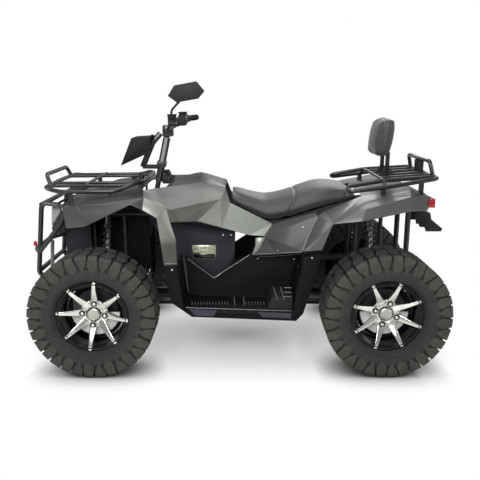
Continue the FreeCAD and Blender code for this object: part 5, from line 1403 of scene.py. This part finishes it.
SWITCHES = (
    ((-0.021, -0.020, -0.021), (0.021, 0.026, 0.023), 0.007, 0.178),
    ((-0.016, -0.016, -0.017), (0.014, 0.040, 0.015), 0.005, 0.138),
)
RESERVOIR = (
    ((-0.021, 0.002, 0.010), (0.023, 0.038, 0.036), 0.005, 0.142),
    ((-0.023, 0.000, 0.034), (0.025, 0.040, 0.039), 0.0015, 0.142),
)
BUTTONS = (
    ((-0.010, -0.026, 0.004), (0.002, -0.019, 0.014), 0.0015, 0.178),
    ((-0.010, -0.026, -0.010), (0.006, -0.019, -0.002), 0.0015, 0.178),
)
LEVER = ((0.140, 0.034, -0.002), (0.105, 0.044, -0.004), (0.050, 0.043, -0.006), (0.004, 0.038, -0.006))
LEVER_BALL = ((-0.009, 0.0), (-0.0078, 0.0045), (-0.0045, 0.0078), (0.0, 0.009), (0.0045, 0.0078), (0.0078, 0.0045),
              (0.009, 0.0))
KNOB = ((0.0, 0.0), (0.0, 1.0), (0.004, 1.1), (0.012, 1.0), (0.014, 0.8), (0.014, 0.0))
KNOBS = ((0.012, -0.006, 0.020, 0.011), (-0.012, 0.0, 0.012, 0.009), (0.0, -0.034, 0.017, 0.012))
DISPLAY = (("display_bezel", 0.060, 0.036, 0.003, "trim"), ("display_screen", 0.054, 0.030, 0.0042, "screen"))
RIDER_EYE = Vector((-0.3, 0.0, 1.7))
RIDER_LOOK = Vector((0.555, 0.0, 1.075))
KNOB_HEADING = (0.3, 1, 0.5)
GRIP_LENGTH = 0.118
GRIP_RIBS = 13
RIB_SPACING = 0.0082


def bar_end():
    """Left end of the handlebar and the direction in which it points there."""
    start, end = route_of(HANDLEBAR[-2:])
    return end, (end - start).normalized()


class QUAD_OT_controls(bpy.types.Operator):
    """Models the levers, switch housings, reservoir, key housing and display"""
    bl_idname = "quad.controls"
    bl_label = "Controls"

    def execute(self, context):
        end, heading = bar_end()
        forward = Vector((heading.y, -heading.x, 0)).normalized()
        rise = forward.cross(heading)
        turn = axes(heading, forward, rise)

        def spot(inward, ahead=0.0, above=0.0):
            return end - heading * inward + forward * ahead + rise * above

        def boxes(rows):
            return [moved(block("model", low, high, edge), "housing", Matrix.Translation(spot(inward)) @ turn)
                    for low, high, edge, inward in rows]

        collar = pipe("collar", [spot(0.130), spot(0.122)], 0.0195, around=6)
        paired("switch_housings", boxes(SWITCHES) + [collar], "trim", "steering")
        paired("reservoirs", boxes(RESERVOIR), "skirt", "steering")
        lever = pipe("lever", [spot(*place) for place in LEVER], 0.0052, 0.02)
        ball = Matrix.Translation(spot(0.0, *LEVER[-1][1:]))
        ball = moved(lathe("tip", LEVER_BALL, 20, closed=False), "ball", ball)
        paired("levers", [lever, ball], "frame", "steering")
        paired("switch_buttons", boxes(BUTTONS), "bead", "steering")
        self.keys()
        self.display()
        return {"FINISHED"}

    def keys(self):
        """Key housing with three knobs, ahead of the cover."""
        middle = seen(167, 174, 0.03)
        low, high = middle + Vector((-0.028, -0.050, -0.052)), middle + Vector((0.026, 0.012, -0.006))
        pieces = [block("keys", low, high, 0.006)]
        for x, y, z, radius in KNOBS:
            stem = middle + Vector((x, y, z))
            knob = lathe("knob", [(place, radius * share) for place, share in KNOB], 20, closed=False)
            pieces.append(aimed(knob, "knob_set", stem, KNOB_HEADING))
            pieces.append(pipe("stem", [stem, middle + Vector((x * 0.6, y, -0.012))], 0.005, around=3))
            removed(knob)
        finished(joined("key_housing", pieces), "trim", "chassis")

    def display(self):
        """Dark display in a raised bezel on the face of the pod that the rider sees."""
        place, normal = struck(surface_finder("instrument_pod"), RIDER_EYE, RIDER_LOOK)
        across = Vector((0, 1, 0))
        matrix = Matrix.Translation(place) @ axes(across, normal.cross(across), normal)
        for name, half_width, half_height, depth, finish in DISPLAY:
            panel = block("panel", (-half_width, -half_height, -0.003), (half_width, half_height, depth), 0.0012, 1)
            finished(moved(panel, name, matrix), finish, "steering")


class QUAD_OT_grips(bpy.types.Operator):
    """Models the ribbed grips"""
    bl_idname = "quad.grips"
    bl_label = "Grips"

    def execute(self, context):
        end, heading = bar_end()
        profile = [(0.0, 0.0112), (0.0, 0.021), (0.004, 0.021), (0.006, 0.0165)]
        for rib in range(GRIP_RIBS):
            y = 0.008 + rib * RIB_SPACING
            profile += [(y, 0.0158), (y + 0.001, 0.0172), (y + 0.005, 0.0172), (y + 0.006, 0.0158)]
        profile += [(GRIP_LENGTH - 0.003, 0.0165), (GRIP_LENGTH, 0.014), (GRIP_LENGTH, 0.0112)]
        start = Matrix.Translation(end + heading * 0.0003 - heading * GRIP_LENGTH)
        grip = moved(lathe("grip", profile, 32), "grip_left", start @ turn_between((0, 1, 0), heading))
        finished(both("grip_sleeves", grip), "grip", "steering", "grips", slot="grip_rubber")
        return {"FINISHED"}


# Stage: each lamp's name, place, size and power
LAMPS = (
    ("overhead", (0.3, 0.5, 3.2), 2.6, 46.0),
    ("near_side", (0.7, 3.8, 2.4), 1.8, 92.0),
    ("far_side", (-1.2, -3.2, 2.8), 2.0, 34.0),
    ("front_end", (3.6, 0.8, 1.8), 1.4, 24.0),
    ("tail_end", (-3.4, 1.6, 1.6), 1.4, 22.0),
)
LAMP_TARGET = Vector((0, 0, 0.5))
WHITE = (1.0, 1.0, 1.0)
SKY_GREY = (0.62, 0.63, 0.64)
SKY_STRENGTH = 0.45
FLOOR_SIZE = 24.0
FLOOR_TONES = ((0.03, 0.032, 0.03), (0.93, 0.94, 0.88))  # in painted contact shadow, and in the open
SHADOW_REACH = 0.16
FADE_LENGTH = 1.30  # half the length and half the width of the floor that keeps its own tone
FADE_WIDTH = 0.70


class QUAD_OT_stage(bpy.types.Operator):
    """Makes the camera, lamps and pale floor"""
    bl_idname = "quad.stage"
    bl_label = "Stage"

    def execute(self, context):
        stage = context.scene.quad_stage
        deselect()
        bpy.ops.object.camera_add(location=stage_eye(), rotation=(math.pi / 2 - stage.pitch, 0, math.pi))
        camera = context.object
        camera.data.lens = stage.lens
        camera.data.sensor_width = SENSOR
        camera.data.clip_end = 60.0
        context.scene.camera = camera
        for name, place, size, power in LAMPS:
            bpy.ops.object.light_add(type="AREA", location=place)
            lamp = context.object
            lamp.name = name
            lamp.data.shape = "SQUARE"
            lamp.data.size = size
            lamp.data.energy = power
            lamp.rotation_euler = (LAMP_TARGET - Vector(place)).to_track_quat("-Z", "Y").to_euler()
        bpy.ops.mesh.primitive_plane_add(size=FLOOR_SIZE)
        floor = context.object
        floor.name = "floor"
        floor.data.materials.append(self.floor_finish())
        self.world(context)
        context.scene.view_settings.view_transform = "Standard"
        return {"FINISHED"}

    def floor_finish(self):
        """Pale floor with painted contact shadow near the tyres, from ambient occlusion in its colour, that the camera
        sees fade to white away from the machine.
        """
        finish = Finish("pale_floor")
        x, y = finish.axis(0), finish.axis(1)
        distance = ((abs(x) / FADE_LENGTH) ** 4 + (abs(y - 0.02) / FADE_WIDTH) ** 4) ** 0.25
        fade = (0.66 + (distance - 0.66) * 0.75 + (distance - 0.8).clamped() * 2.0).clamped()
        occlusion_shade = finish.node("ShaderNodeAmbientOcclusion", {"samples": 8}, Distance=SHADOW_REACH)
        near = Field(finish.tree, occlusion_shade.outputs["AO"])
        # Ambient occlusion darkens the floor's colour near the tyres: painted contact shadow.
        tone = finish.mix(near ** 1.5, *FLOOR_TONES)
        finish.surface(Base_Color=tone, Roughness=0.14 + 0.1 * finish.noise(4.0), Specular_IOR_Level=0.5)
        white = finish.node("ShaderNodeEmission", Color=WHITE, Strength=1.0)
        camera_ray = Field(finish.tree, finish.node("ShaderNodeLightPath").outputs["Is Camera Ray"])
        share = fade * near ** 2.0 * camera_ray
        blended(finish.tree, share, finish.shader.outputs[0], white.outputs[0], "Material Output")
        return finish.material

    def world(self, context):
        """Even grey light that the camera sees as white."""
        world = bpy.data.worlds.new("studio")
        context.scene.world = world
        world.use_nodes = True
        tree = world.node_tree
        light, white = tree.nodes["Background"], tree.nodes.new("ShaderNodeBackground")
        join(tree, light.inputs["Color"], SKY_GREY)
        join(tree, light.inputs["Strength"], SKY_STRENGTH)
        join(tree, white.inputs["Color"], WHITE)
        camera_ray = tree.nodes.new("ShaderNodeLightPath").outputs["Is Camera Ray"]
        blended(tree, camera_ray, light.outputs[0], white.outputs[0], "World Output")


OPERATORS = (
    QUAD_OT_stage, QUAD_OT_tyres, QUAD_OT_rims, QUAD_OT_hubs, QUAD_OT_panels, QUAD_OT_trim, QUAD_OT_footboards,
    QUAD_OT_controls, QUAD_OT_tubes, QUAD_OT_shocks, QUAD_OT_seat, QUAD_OT_grips,
)
SETTINGS = (
    ("quad_wheel", WheelSettings), ("quad_paint", PaintSettings), ("quad_tube", TubeSettings),
    ("quad_stage", StageSettings),
)


class QUAD_PT_panel(bpy.types.Panel):
    """Lists the pieces of the quad bike"""
    bl_label = "Quad Bike"
    bl_idname = "QUAD_PT_panel"
    bl_space_type = "VIEW_3D"
    bl_region_type = "UI"
    bl_category = "Quad Bike"

    def draw(self, context):
        for operator in OPERATORS:
            self.layout.operator(operator.bl_idname)


def register():
    for name, group in SETTINGS:
        bpy.utils.register_class(group)
        setattr(bpy.types.Scene, name, PointerProperty(type=group))
    for operator in OPERATORS:
        bpy.utils.register_class(operator)
    bpy.utils.register_class(QUAD_PT_panel)


def unregister():
    bpy.utils.unregister_class(QUAD_PT_panel)
    for operator in reversed(OPERATORS):
        bpy.utils.unregister_class(operator)
    for name, group in reversed(SETTINGS):
        delattr(bpy.types.Scene, name)
        bpy.utils.unregister_class(group)


def main():
    register()
    for operator in OPERATORS:
        group, name = operator.bl_idname.split(".")
        getattr(getattr(bpy.ops, group), name)()


if __name__ == "__main__":
    main()
